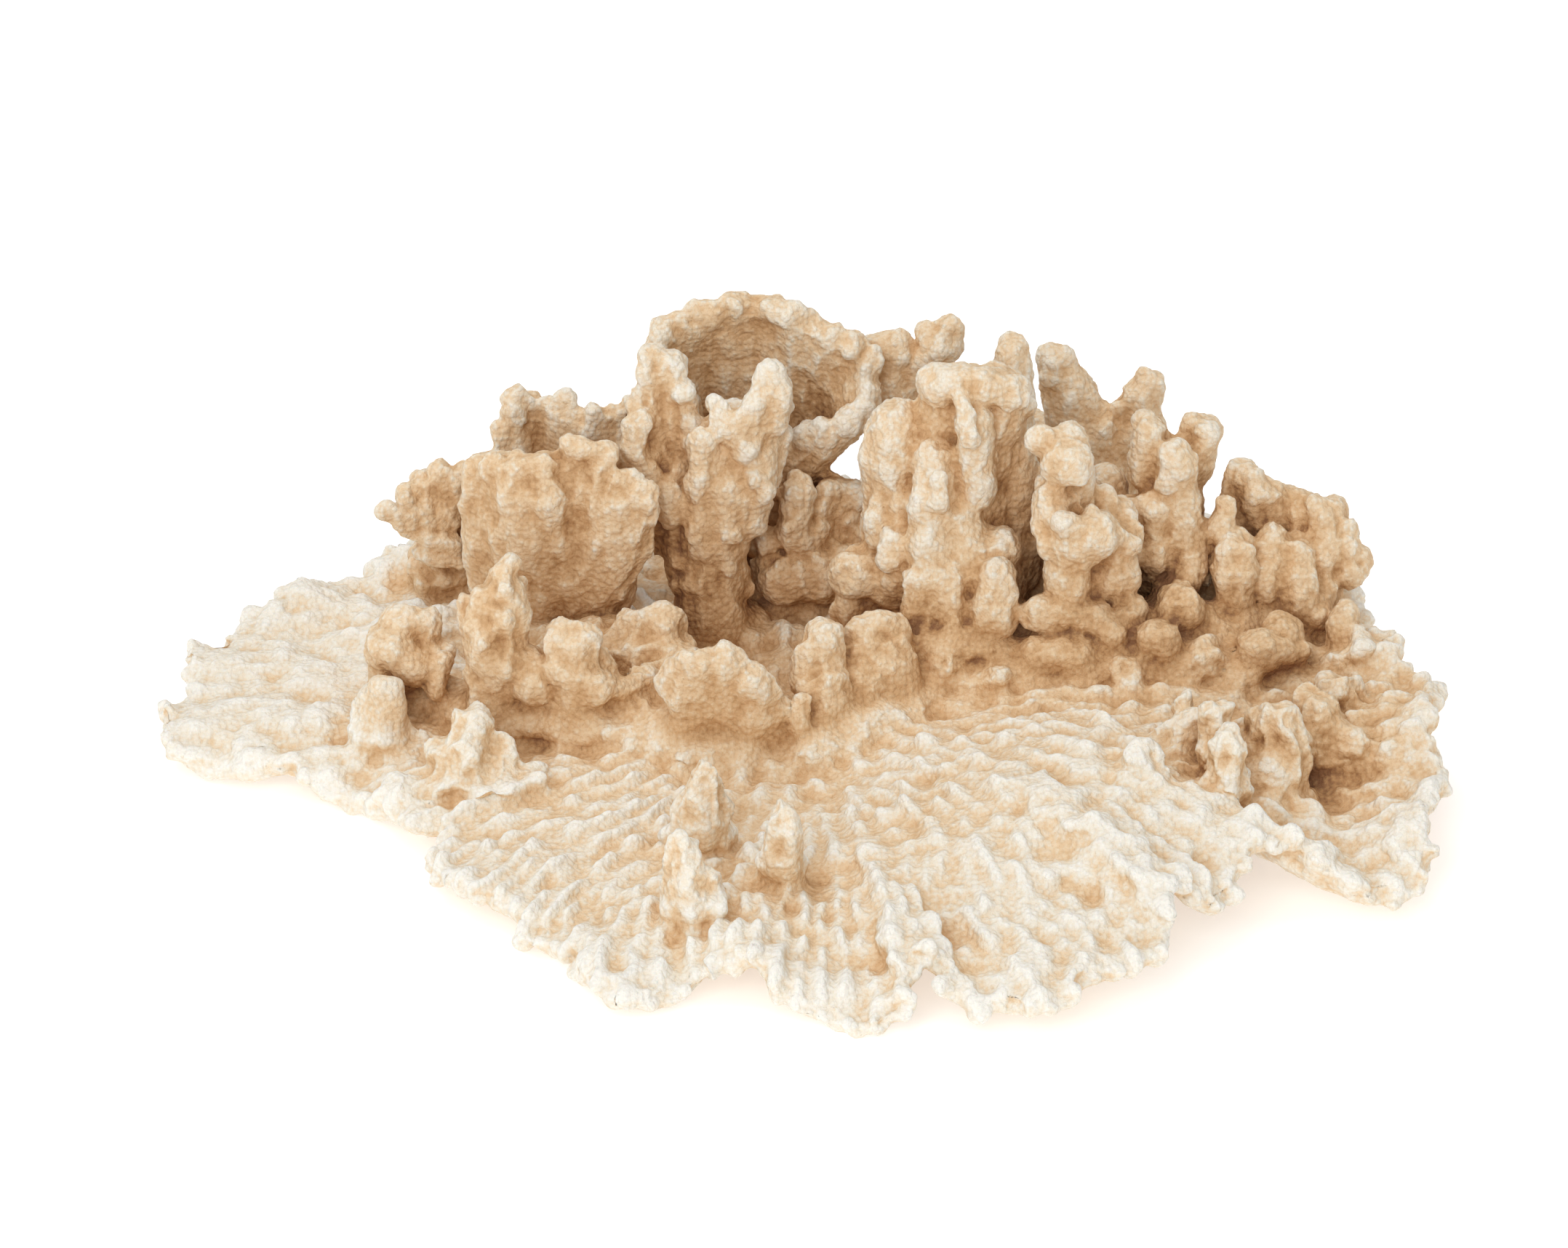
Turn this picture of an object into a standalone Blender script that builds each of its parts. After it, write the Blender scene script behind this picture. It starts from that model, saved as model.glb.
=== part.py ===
"""Scroll coral: a dry skeleton, a ruffled plate that carries a ring of upright leaves, fans and knobbly columns.

The colony grew in one piece. It is split at its main forks, so the plate and each upright are separate solids.
Shapes are written in millimetres. +X is right and -Y is the front, as the coral is looked at, and +Z is up.
The origin is the middle of the flat cut under the foot.
"""

import math

import bmesh
import bpy
import numpy as np
from mathutils import Matrix, Vector, noise

MM = 0.001

# At a fork the upright starts this far above the plate's cut.
FORK_GAP = 0.3
# The cutter over a fork is this much wider than the root, and this high.
NOTCH_MARGIN = 1
NOTCH_HEIGHT = 12
# Half the width of a cutter that takes away all that is below a height, and its depth.
BEYOND = 200
CUT_DEPTH = 60

PLATE_GRAIN = 1.4
UPRIGHT_GRAIN = 1.0
PLATE_TRIANGLES = 3300
SOFTENING = 0.5
SOFTEN_TIMES = 2

CORAL_COLOUR = (0.80, 0.66, 0.48)
PLATE_TINT = 1.1
CORAL_ROUGHNESS = 0.85

# The plate's rim, from the left tip round the front, the right and the back: x, y and the height of its middle.
PLATE_RIM = [
    (-122, 3, 8), (-120, -6, 7), (-106, -11, 5), (-90, -17, 5), (-79, -27, 5), (-71, -36, 6), (-64, -41, 9),
    (-65, -54, 8), (-50, -70, 6), (-40, -82, 5), (-34, -95, 4), (-29, -99, 4), (-22, -96, 5), (-17, -90, 8),
    (-8, -92, 8), (-2, -99, 5), (10, -103, 4), (17, -102, 5), (18, -93, 9), (24, -95, 9), (30, -102, 6),
    (42, -103, 5), (52, -96, 8), (62, -89, 9), (63, -80, 12), (72, -76, 8), (76, -71, 8), (80, -64, 11),
    (90, -61, 11), (103, -64, 7), (113, -59, 10), (112, -50, 15), (118, -38, 18), (116, -24, 20), (120, -10, 21),
    (115, 2, 21), (113, 14, 20), (109, 30, 21), (108, 43, 19), (98, 58, 16), (94, 72, 17), (78, 84, 14),
    (62, 93, 16), (48, 104, 13), (32, 101, 16), (18, 106, 12), (2, 101, 13), (-12, 108, 13), (-28, 100, 16),
    (-44, 99, 13), (-58, 86, 16), (-70, 78, 14), (-77, 66, 16), (-88, 58, 14), (-99, 51, 15), (-106, 42, 12),
    (-112, 33, 12), (-121, 25, 10), (-117, 14, 10),
]
PLATE_THICK = 4.6
PLATE_LEVEL = 9.0
RIM_REACH = 3
PLATE_COLUMNS = 241
PLATE_ROWS = 31
# The sheet's innermost row, as a share of the way out to the rim.
PLATE_START = 0.02

# Swells and hollows of the plate: x, y, height, spread.
PLATE_SWELLS = [
    (50, -48, 11, 24),
    (56, -12, 2, 20),
    (-6, -34, -4, 15),
    (-2, 22, -3, 14),
    (-66, -56, -2, 20),
    (88, -20, -6, 9),
    (100, -42, -7, 9),
]
RUFFLE_COUNT = 23
RUFFLE_HEIGHT = 1.6
# What makes the ruffles uneven: how far, how often round the rim, start.
RUFFLE_SWINGS = [(1.5, 2, 0), (1.1, 3, 1)]

FOOT_PLACE = (4, 2)
FOOT_RADIUS = 46
FOOT_FLARE = 1.25
FOOT_HEIGHT = 9
FOOT_SUNK = 3
FOOT_SIDES = 40
# What makes the foot's outline uneven: how far, how often round it, start.
FOOT_SWINGS = [(0.07, 3, 0.6), (0.05, 7, 0)]

LEAF_COLUMNS = 49
LEAF_ROWS = 19
# Each leaf's folds start at a place of their own.
FOLD_SWING = 2.2
FOLD_PITCH = 7.3

BALL_STEP = 0.55
BALL_UNEVEN = 0.12
BALL_PITCH = 0.25
LUMP_SIZE = 7
LUMP_HEIGHT = 1.8
LUMP_LEVEL = 0.45


def curve_through(points, count, closed=False):
    """Points evenly spread along a smooth curve through the given ones."""
    given = np.array(points, float)
    total = len(given)
    spans = total if closed else total - 1
    fine = 16
    path = []
    for i in range(spans):
        around = [i - 1, i, i + 1, i + 2]
        around = [k % total for k in around] if closed else [min(max(k, 0), total - 1) for k in around]
        a, b, c, d = given[around]
        t = np.arange(fine)[:, None] / fine
        path.append(0.5 * (2 * b + (c - a) * t + (2 * a - 5 * b + 4 * c - d) * t**2 + (3 * b - a - 3 * c + d) * t**3))
    path = np.vstack([*path, given[:1] if closed else given[-1:]])
    along = np.r_[0, np.cumsum(np.linalg.norm(np.diff(path, axis=0), axis=1))]
    wanted = np.linspace(0, along[-1], count, endpoint=not closed)
    return np.array([np.interp(wanted, along, path[:, k]) for k in range(path.shape[1])]).T


def object_from(mesh, name, collection):
    made = bpy.data.objects.new(name, mesh)
    collection.objects.link(made)
    return made


def sheet(grid, thick, wrap=False):
    """A closed sheet of even thickness round a grid of points, as a mesh."""
    rows, columns, _ = grid.shape
    shape = bmesh.new()
    bmesh.ops.create_grid(shape, x_segments=columns - 1, y_segments=rows - 1, size=1)
    corners = sorted(shape.verts, key=lambda v: (round(v.co.y, 5), round(v.co.x, 5)))
    for corner, place in zip(corners, grid.reshape(-1, 3)):
        corner.co = Vector(place)
    if wrap:
        bmesh.ops.remove_doubles(shape, verts=shape.verts, dist=0.01)
    bmesh.ops.recalc_face_normals(shape, faces=shape.faces)
    mesh = bpy.data.meshes.new("sheet")
    shape.to_mesh(mesh)
    shape.free()
    bare = object_from(mesh, "sheet", bpy.context.scene.collection)
    shell = bare.modifiers.new("thickness", "SOLIDIFY")
    shell.thickness = thick
    shell.offset = 0
    closed = bpy.data.meshes.new_from_object(bare.evaluated_get(bpy.context.evaluated_depsgraph_get()))
    bpy.data.objects.remove(bare)
    return closed


def leaf(foot, rim, thick=4.5, rise=0.7, folds=3, fold_depth=1.0, belly=0.0):
    """An upright sheet that spreads from a foot line to a rim. Folds run from the foot to the rim."""
    low = curve_through(foot, LEAF_COLUMNS)
    high = curve_through(rim, LEAF_COLUMNS)
    inward = low.mean(axis=0) - high
    high += inward * (thick / 2 / np.linalg.norm(inward, axis=1))[:, None]
    middle = low + (high - low) * np.array([1 - rise, 1 - rise, rise])
    u = np.linspace(0, 1, LEAF_COLUMNS)
    start = FOLD_SWING * math.sin(FOLD_PITCH * low[0][0])
    grid = []
    for v in np.linspace(0, 1, LEAF_ROWS):
        row = (1 - v) ** 2 * low + 2 * v * (1 - v) * middle + v**2 * high
        side = np.gradient(row, axis=0)
        out = np.cross(side, [0, 0, 1])
        out /= np.linalg.norm(out, axis=1)[:, None] + 1e-9
        wave = np.sin(2 * math.pi * folds * u + start) * fold_depth * v
        bulge = belly * math.sin(math.pi * v) * np.sin(math.pi * u)
        grid.append(row + out * (wave + bulge)[:, None])
    return sheet(np.array(grid), thick)


def lumps(path):
    """A chain of overlapping balls along a path of (x, y, z, radius)."""
    path = np.array(path, float)
    shape = bmesh.new()
    for start, end in list(zip(path[:-1], path[1:])) or [(path[0], path[0])]:
        length = np.linalg.norm(end[:3] - start[:3])
        steps = max(1, math.ceil(length / (BALL_STEP * min(start[3], end[3]))))
        for k in range(steps + 1):
            x, y, z, radius = start + (end - start) * k / steps
            radius *= 1 + BALL_UNEVEN * noise.noise(Vector((x, y, z)) * BALL_PITCH)
            bmesh.ops.create_icosphere(shape, subdivisions=2, radius=radius, matrix=Matrix.Translation((x, y, z)))
    mesh = bpy.data.meshes.new("lumps")
    shape.to_mesh(mesh)
    shape.free()
    return mesh


def plate_height(x, y, share, rim_height):
    """Height of the middle of the plate's thickness, for a share of the way out to a rim of a given height."""
    height = PLATE_LEVEL + (rim_height - PLATE_LEVEL) * share**RIM_REACH
    for centre_x, centre_y, swell, spread in PLATE_SWELLS:
        height += swell * math.exp(-((x - centre_x) ** 2 + (y - centre_y) ** 2) / (2 * spread**2))
    return height


def swings(angle, terms):
    return sum(far * math.sin(often * angle + start) for far, often, start in terms)


def plate_sheet():
    """The ruffled plate, with folds that run out to its rim."""
    rim = curve_through(PLATE_RIM, PLATE_COLUMNS - 1, closed=True)
    rim = np.vstack([rim, rim[:1]])
    grid = []
    for share in np.linspace(PLATE_START, 1, PLATE_ROWS):
        row = []
        for k, (rim_x, rim_y, rim_height) in enumerate(rim):
            angle = 2 * math.pi * k / (PLATE_COLUMNS - 1)
            wave = math.sin(RUFFLE_COUNT * angle + swings(angle, RUFFLE_SWINGS))
            ruffle = RUFFLE_HEIGHT * share**RIM_REACH * wave
            x, y = rim_x * share, rim_y * share
            row.append((x, y, plate_height(x, y, share, rim_height) + ruffle))
        grid.append(row)
    return sheet(np.array(grid), PLATE_THICK, wrap=True)


def foot():
    """The stump that the plate grew from, with its flat cut."""
    shape = bmesh.new()
    bmesh.ops.create_cone(
        shape, cap_ends=True, segments=FOOT_SIDES, radius1=FOOT_RADIUS, radius2=FOOT_RADIUS * FOOT_FLARE,
        depth=FOOT_HEIGHT + FOOT_SUNK, matrix=Matrix.Translation((*FOOT_PLACE, (FOOT_HEIGHT - FOOT_SUNK) / 2)),
    )
    for corner in shape.verts:
        angle = math.atan2(corner.co.y, corner.co.x)
        corner.co.xy *= 1 + swings(angle, FOOT_SWINGS)
    mesh = bpy.data.meshes.new("foot")
    shape.to_mesh(mesh)
    shape.free()
    return mesh


def plate_nubs():
    """What stands low on the plate: spikes, rounded fins, the left mound and the ridge under the right columns."""
    return [
        lumps([(-18, -50, 8, 6), (-18, -52, 18, 5.2), (-17, -52, 25, 2.6)]),
        lumps([(-18, -77, 6, 6.5), (-19, -78, 15, 5.6), (-21, -78, 24, 2.6)]),
        lumps([(-3, -66, 8, 5), (-3, -69, 18, 4), (-3, -70, 25, 3.4)]),
        lumps([(-80, -8, 9, 6.5), (-80, -7, 17, 5)]),
        lumps([(62, -40, 16, 5), (62, -42, 22, 4)]),
        lumps([(78, -44, 12, 5.5), (78, -45, 22, 4.6), (78, -45, 28, 3.4)]),
        lumps([(88, -38, 8, 6), (88, -34, 16, 6), (88, -32, 25, 4.6)]),
        lumps([(96, -24, 8, 6), (97, -23, 16, 6), (97, -22, 22, 4.8)]),
        lumps([(101, -10, 12, 6), (102, -10, 20, 5)]),
        lumps([(96, -24, 18, 3), (104, -27, 18, 3)]),
        lumps([(70, -28, 13, 7), (72, -27, 22, 4)]),
        lumps([(24, 16, 13, 11), (52, 15, 17, 10.5), (78, 15, 17, 10.5), (98, 22, 16, 9)]),
        lumps([(26, 8, 12, 9), (52, 7, 15, 9.5), (78, 7, 15, 9.5), (96, 12, 14, 8)]),
        lumps([(24, 0, 8, 7), (50, -4, 10.5, 8), (80, -4, 10, 8), (97, 2, 10, 7)]),
        lumps([(34, 36, 16, 11), (60, 38, 16, 11), (88, 34, 16, 11)]),
        lumps([(-72, 6, 8, 8), (-57, -1, 9, 9), (-43, -4, 9, 10), (-30, -8, 8, 10), (-16, -13, 8, 9)]),
        lumps([(-16, -13, 8, 9), (-5, -17, 5, 7)]),
        lumps([(-52, 20, 10, 10), (-38, 15, 11, 12), (-28, 10, 14, 10), (-20, 2, 12, 9)]),
        lumps([(2, -16, 8, 7), (14, -8, 9, 8), (24, 3, 9, 8)]),
        lumps([(-8, 35, 6.5, 7), (8, 35, 6.5, 7)]),
        lumps([(-4, 26, 4, 8), (4, 26, 5, 8)]),
        lumps([(12, 23, 20, 5.5), (10.5, 22.5, 23.5, 5)]),
        lumps([(-31, 14, 20, 6.5), (-26, 12, 24, 5.2)]),
        lumps([(-70, -27, 7, 6), (-61, -26, 9, 6.5), (-52, -28, 8, 6)]),
        lumps([(-36, 22, 12, 9), (-28, 12, 15, 8), (-24, 2, 14, 8)]),
        lumps([(-92, 30, 8, 7), (-74, 34, 10, 7), (-58, 40, 10, 8)]),
    ]


def build_uprights():
    """Every upright: its name, the height of its fork, its triangles, its root, and what grows above it."""
    return [
        (
            "left_scroll", 15, 280,
            [(-68, 51, 11, 5), (-78, 54, 11, 5)],
            [
                leaf([(-69, 51, 12), (-67, 50, 28), (-66, 47, 42)],
                     [(-74, 51, 13), (-74, 50, 20), (-75, 47, 26), (-78, 45, 30), (-83, 43, 34), (-80, 46, 39),
                      (-75, 48, 42), (-69, 46, 44)], folds=4, fold_depth=1.1, rise=0.5, belly=2),
                lumps([(-72, 52, 12, 5), (-76, 53, 20, 3.6)]),
            ],
        ),
        (
            "left_fan", 15, 480,
            [(-60, 34, 11, 6), (-48, 31, 11, 6.5), (-38, 33, 11, 6)],
            [
                leaf([(-61, 36, 12), (-50, 32, 12), (-37, 34, 12)],
                     [(-60, 37, 16), (-63, 35, 28), (-65, 34, 43), (-62, 32, 49), (-55, 29, 54), (-47, 28, 54),
                      (-35, 28, 52), (-27, 24, 46.5), (-32, 29, 38), (-34, 33, 28), (-36, 36, 15)],
                     thick=5, folds=5, fold_depth=1.3, belly=4, rise=0.5),
            ],
        ),
        (
            "left_back_frill", 15, 300,
            [(-56, 55, 11, 5), (-42, 56, 11, 5)],
            [
                leaf([(-57, 55, 12), (-49, 57, 12), (-38, 56, 12)],
                     [(-60, 55, 20), (-61, 54, 46), (-57, 54, 50), (-56, 55, 55.5), (-51, 56, 55), (-46, 54, 53),
                      (-43, 56, 47), (-41, 53, 53), (-37, 53, 54), (-33, 54, 51), (-34, 57, 20)],
                     folds=3, fold_depth=1.5, rise=0.55),
            ],
        ),
        (
            "back_shell", 15, 420,
            [(-18, 60, 11, 6), (-8, 63, 11, 6)],
            [
                leaf([(-20, 60, 12), (-13, 63, 12), (-6, 62, 12)],
                     [(-22, 58, 14), (-27, 56, 40), (-29, 54, 62), (-27, 56, 70), (-19, 59, 73), (-10, 61, 74),
                      (-2, 60, 73), (6, 57, 70.5), (13, 55, 66), (15, 52, 60), (14, 50, 55), (8, 50, 51),
                      (1, 52, 47.5), (-1, 56, 34), (-3, 60, 15)],
                     thick=5.5, folds=3, fold_depth=1.2, belly=-4),
            ],
        ),
        (
            "centre_column", 15, 500,
            [(-20, 38, 10, 8), (-12, 40, 10, 7)],
            [
                lumps([(-17.5, 38, 12, 8), (-17.5, 38, 30, 7.2), (-14.5, 38, 42, 8), (-13, 40, 54, 5.5)]),
                lumps([(-21, 40, 22, 5), (-24, 40, 34, 5.5), (-24, 40, 44, 5)]),
                leaf([(-26, 40, 22), (-20, 42, 24)],
                     [(-29, 38, 34), (-32, 38, 46), (-31.5, 39, 58), (-30.5, 41, 66), (-28, 42, 70), (-23, 41, 65),
                      (-20, 40, 58), (-19, 42, 46)], thick=5.5, folds=2, fold_depth=0.5),
                leaf([(-13, 38, 42), (-9, 37, 42), (-5, 39, 42)],
                     [(-17, 41, 54), (-16, 36, 60), (-13, 33, 55), (-10, 33, 57), (-7, 35, 62), (-5, 38, 66),
                      (-2.5, 40, 63), (-2, 42, 52)], thick=5, folds=1, fold_depth=0.4),
                lumps([(-10, 36, 36, 4.2), (-9.4, 36, 43, 4.5), (-8.4, 37, 50, 4)]),
            ],
        ),
        (
            "cup_wall", 15, 280,
            [(-6, 47, 10, 6), (8, 48, 10, 6)],
            [
                leaf([(-8, 47, 12), (10, 48, 12)],
                     [(-8, 46, 18), (-8, 45, 28), (-4, 44, 31), (1, 44, 31), (4, 46, 33), (7, 50, 38), (11, 52, 37),
                      (14, 52, 33), (13, 50, 16)], thick=5.5, folds=4, fold_depth=1.0),
                lumps([(-3, 44, 20, 5.8), (9, 45, 21, 6)]),
                lumps([(-1, 43, 30, 4.2), (-0.8, 43, 35, 3.8), (-0.4, 44, 38.6, 2.2)]),
                lumps([(5, 50, 24, 4.6), (8, 50, 35, 3.8)]),
            ],
        ),
        (
            "back_knob_column", 15, 320,
            [(21, 68, 11, 8)],
            [
                lumps([(21, 68, 14, 8), (21, 67, 34, 6.4), (19.5, 65, 47, 6.2), (17.5, 65.5, 56, 7)]),
                lumps([(13.5, 65.5, 58, 3.6), (18, 63.5, 61, 4)]),
                lumps([(24, 63, 57, 4.6), (28.6, 62, 63.2, 4.2)]),
            ],
        ),
        (
            "tall_column", 30, 690,
            [(34, 26, 20, 12), (20, 26, 20, 8), (34, 26, 27, 11), (20, 27, 27, 7)],
            [
                lumps([(34, 28, 28, 10), (34, 28, 42, 8.4), (34, 28, 61, 8)]),
                lumps([(41, 30, 30, 7.5), (41, 30, 44, 6.5), (40, 29, 56, 5)]),
                lumps([(33, 25, 60, 6), (33, 24, 68, 5)]),
                lumps([(28, 26, 62, 6), (28, 25, 68, 4.6)]),
                lumps([(38, 26, 62, 6), (38, 26, 68, 4.8)]),
                lumps([(41, 40, 50, 5), (42, 40, 62, 4), (42, 40, 71, 3.2)]),
                lumps([(20, 27, 28, 6.5), (18, 27, 42, 6.2), (18, 26, 58, 6)]),
                lumps([(26, 20, 56, 4), (26, 18, 48, 4.5), (25.3, 16, 39, 5.2), (27.5, 15, 32, 5)]),
                lumps([(31, 18, 44, 4.5), (33, 16, 34, 6)]),
                lumps([(38, 17, 38, 4.6), (37, 15, 32, 4.6)]),
                lumps([(27, 18, 30, 6), (28, 14, 34, 5)]),
                lumps([(16, 23, 31, 5.5), (11, 22.5, 30.5, 5.4)]),
                lumps([(18, 22, 29, 6), (22, 20, 34, 6)]),
            ],
        ),
        (
            "knob_column", 30, 380,
            [(56, 16, 20, 7.5), (56, 16, 27, 7.5)],
            [
                lumps([(56, 16, 28, 7), (54, 17, 38, 6), (52, 18, 48, 5), (51, 17, 60, 4.4)]),
                lumps([(51, 11, 42, 4.2), (56, 9, 45, 4.8)]),
                lumps([(61, 13, 34, 4.4), (60, 14, 42, 4)]),
                lumps([(56, 21, 33, 7), (58, 31, 33, 6), (59, 33, 40, 5.2), (60, 34, 44, 4.6)]),
                lumps([(52, 10, 32, 4.6), (52, 11, 40, 4.6)]),
                lumps([(50, 14, 47, 3.4), (49, 14, 51, 3)]),
            ],
        ),
        (
            "back_antler", 20, 320,
            [(62, 62, 12, 7)],
            [
                lumps([(62, 62, 18, 7), (63, 61, 38, 6), (58, 60, 48, 5), (54, 60, 55, 4.4), (51, 60, 61, 3)]),
                lumps([(64, 61, 40, 5), (68, 60, 49, 4.4), (70, 60, 55, 3.4)]),
            ],
        ),
        (
            "right_column", 30, 400,
            [(73, 32, 20, 8), (73, 32, 27, 8)],
            [
                lumps([(73, 33, 28, 7.5), (73, 33, 38, 6.4), (73, 34, 48, 5.4)]),
                lumps([(70, 34, 48, 4.6), (69, 35, 55, 3.6)]),
                lumps([(76, 35, 48, 4.6), (79, 36, 55, 3.6)]),
                lumps([(73, 28, 46, 4.5), (73, 27, 53, 4)]),
                lumps([(70, 26, 32, 5), (69, 26, 42, 4.4)]),
                lumps([(76, 25, 32, 4.6), (77, 26, 38, 3.6)]),
            ],
        ),
        (
            "right_fan", 27, 440,
            [(90, 30, 19, 7), (99, 28, 19, 7), (90, 30, 24, 7), (100, 28, 24, 7)],
            [
                leaf([(87, 32, 26), (94, 33, 26), (103, 29, 26)],
                     [(85, 35, 30), (85, 37, 38), (85, 36, 47), (87, 33, 49), (92, 35, 46), (97, 34, 43),
                      (104, 32, 43), (108, 28, 38), (110, 25, 31), (107, 24, 26)], thick=6, folds=5, fold_depth=1.4,
                     rise=0.5),
                lumps([(86, 24, 28, 4.4), (85, 24, 36, 3.6)]),
                lumps([(97, 23, 27, 5.4), (97, 26, 33, 4.4)]),
            ],
        ),
        (
            "front_left_spire", 17, 220,
            [(-58, -3, 11, 6)],
            [
                lumps([(-58, -3, 12, 6), (-59, -4, 30, 5.4), (-60, -4, 36, 3.6)]),
                lumps([(-56, -4, 30, 4.6), (-55, -4, 37, 4), (-56, -4, 42, 2.6)]),
            ],
        ),
        (
            "front_left_crown", 17, 220,
            [(-76, 7, 11, 6)],
            [
                lumps([(-77, 7, 12, 6), (-78, 6, 20, 5.6), (-79, 6, 24, 4)]),
                lumps([(-72, 6, 20, 4.8), (-73, 6, 25, 4)]),
            ],
        ),
        (
            "front_frill", 17, 200,
            [(-43, -4, 11, 7)],
            [
                lumps([(-43, -5, 12, 7), (-43, -6, 24, 5.6), (-43, -6, 28, 4.4)]),
                lumps([(-48, -5, 22, 4), (-38, -5, 22, 4)]),
            ],
        ),
        (
            "front_centre_leaf", 15, 220,
            [(-18, -14, 9, 6), (-9, -15, 9, 5)],
            [
                leaf([(-20, -13, 12), (-8, -14, 12)],
                     [(-25, -14, 15), (-25, -15, 28), (-22, -16, 32.5), (-12, -16, 32), (-8, -15, 27), (-3, -14, 21),
                      (-3, -13, 14)], thick=7, folds=2, fold_depth=0.6),
            ],
        ),
        (
            "centre_fin", 17, 260,
            [(4, -10, 11, 6), (16, 0, 11, 7)],
            [
                lumps([(4, -10, 12, 6), (4.4, -6, 20, 5.2), (4.4, -2, 27.5, 4.2)]),
                lumps([(10, -5, 12, 6), (11, -1, 19, 5), (13, 3, 25.5, 4.4)]),
                lumps([(18, 0, 14, 6), (18, 2, 20, 5), (18, 4, 24, 4.2)]),
            ],
        ),
        (
            "rear_fan", 15, 240,
            [(-22, 84, 11, 6), (-8, 86, 11, 6)],
            [
                leaf([(-24, 83, 12), (-6, 86, 12)],
                     [(-32, 82, 18), (-34, 84, 30), (-26, 88, 36), (-16, 90, 37), (-6, 91, 34), (2, 90, 26),
                      (2, 88, 16)], folds=4, fold_depth=1.4),
            ],
        ),
        (
            "rear_right_fan", 15, 240,
            [(36, 84, 11, 6), (50, 80, 11, 6)],
            [
                leaf([(34, 84, 12), (52, 79, 12)],
                     [(27, 86, 18), (28, 88, 30), (36, 90, 37), (46, 88, 40), (56, 84, 36), (62, 78, 26),
                      (58, 77, 16)], folds=4, fold_depth=1.4),
            ],
        ),
    ]


def join(pieces, name):
    shape = bmesh.new()
    for piece in pieces:
        shape.from_mesh(piece)
    mesh = bpy.data.meshes.new(name)
    shape.to_mesh(mesh)
    shape.free()
    mesh.transform(Matrix.Scale(MM, 4))
    return mesh


def lump_texture():
    texture = bpy.data.textures.new("lumps", "CLOUDS")
    texture.noise_scale = LUMP_SIZE * MM
    texture.noise_depth = 1
    return texture


def grow(name, pieces, grain, triangles, collection):
    """One solid grown from overlapping pieces: one skin over all of them, softened and then simplified."""
    solid = object_from(join(pieces, name), name, collection)
    skin = solid.modifiers.new("skin", "REMESH")
    skin.mode = "VOXEL"
    skin.voxel_size = grain * MM
    soften = solid.modifiers.new("soften", "SMOOTH")
    soften.factor = SOFTENING
    soften.iterations = SOFTEN_TIMES
    swell = solid.modifiers.new("lumps", "DISPLACE")
    swell.texture = bpy.data.textures.get("lumps") or lump_texture()
    swell.texture_coords = "GLOBAL"
    swell.strength = LUMP_HEIGHT * MM
    swell.mid_level = LUMP_LEVEL
    fine = solid.evaluated_get(bpy.context.evaluated_depsgraph_get()).data
    simplify = solid.modifiers.new("simplify", "DECIMATE")
    simplify.ratio = triangles / (2 * len(fine.polygons))
    return solid


def box_cutter(name, boxes, collection):
    """One or more boxes, given by their low and high corners, that cut and don't show."""
    shape = bmesh.new()
    for low, high in boxes:
        low, high = Vector(low) * MM, Vector(high) * MM
        size = high - low
        place = Matrix.Translation((low + high) / 2) @ Matrix.Diagonal((*size, 1))
        bmesh.ops.create_cube(shape, size=1, matrix=place)
    mesh = bpy.data.meshes.new(name)
    shape.to_mesh(mesh)
    shape.free()
    cutter = object_from(mesh, name, collection)
    cutter.hide_render = True
    cutter.display_type = "WIRE"
    return cutter


def slab_below(height):
    """The corners of a box that takes away all that is below a height."""
    return (-BEYOND, -BEYOND, -CUT_DEPTH), (BEYOND, BEYOND, height)


def notch_over(root, fork):
    """The corners of a box over an upright's root, from its fork upwards."""
    low = [min(ball[axis] - ball[3] for ball in root) - NOTCH_MARGIN for axis in (0, 1)]
    high = [max(ball[axis] + ball[3] for ball in root) + NOTCH_MARGIN for axis in (0, 1)]
    return (*low, fork), (*high, fork + NOTCH_HEIGHT)


def cut(solid, cutter):
    trim = solid.modifiers.new("cut", "BOOLEAN")
    trim.operation = "DIFFERENCE"
    trim.object = cutter
    trim.use_self = True


def coral_material(name, tint=1.0):
    material = bpy.data.materials.new(name)
    material.use_nodes = True
    surface = material.node_tree.nodes["Principled BSDF"]
    surface.inputs["Base Color"].default_value = (*[c * tint for c in CORAL_COLOUR], 1)
    surface.inputs["Roughness"].default_value = CORAL_ROUGHNESS
    return material


def main():
    for old in list(bpy.data.objects):
        bpy.data.objects.remove(old)
    coral = bpy.data.collections.new("scroll_coral")
    cutters = bpy.data.collections.new("cutters")
    bpy.context.scene.collection.children.link(coral)
    bpy.context.scene.collection.children.link(cutters)

    uprights = build_uprights()
    roots = [lumps(root) for _, _, _, root, _ in uprights]
    plate = grow("plate", [plate_sheet(), foot(), *plate_nubs(), *roots], PLATE_GRAIN, PLATE_TRIANGLES, coral)
    notches = [notch_over(root, fork) for _, fork, _, root, _ in uprights]
    cut(plate, box_cutter("plate_cutter", [slab_below(0), *notches], cutters))
    plate.data.materials.append(coral_material("plate", PLATE_TINT))
    for (name, fork, triangles, _, growth), root in zip(uprights, roots):
        upright = grow(name, [root, *growth], UPRIGHT_GRAIN, triangles, coral)
        cut(upright, box_cutter(name + "_cutter", [slab_below(fork + FORK_GAP)], cutters))
        upright.data.materials.append(coral_material(name))


main()
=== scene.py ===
"""The look of the scroll coral: its plate and uprights as fine meshes, colour, floor, light and camera.

Shapes are in millimetres, in the frame of the solids: +X right, -Y front, +Z up, origin in the foot's cut.
The last number in a call of clouds or cells only shifts its noise, so that no two are alike.
"""

import math

import bmesh
import bpy
import numpy as np
from mathutils import Matrix, Vector, kdtree, noise

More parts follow.
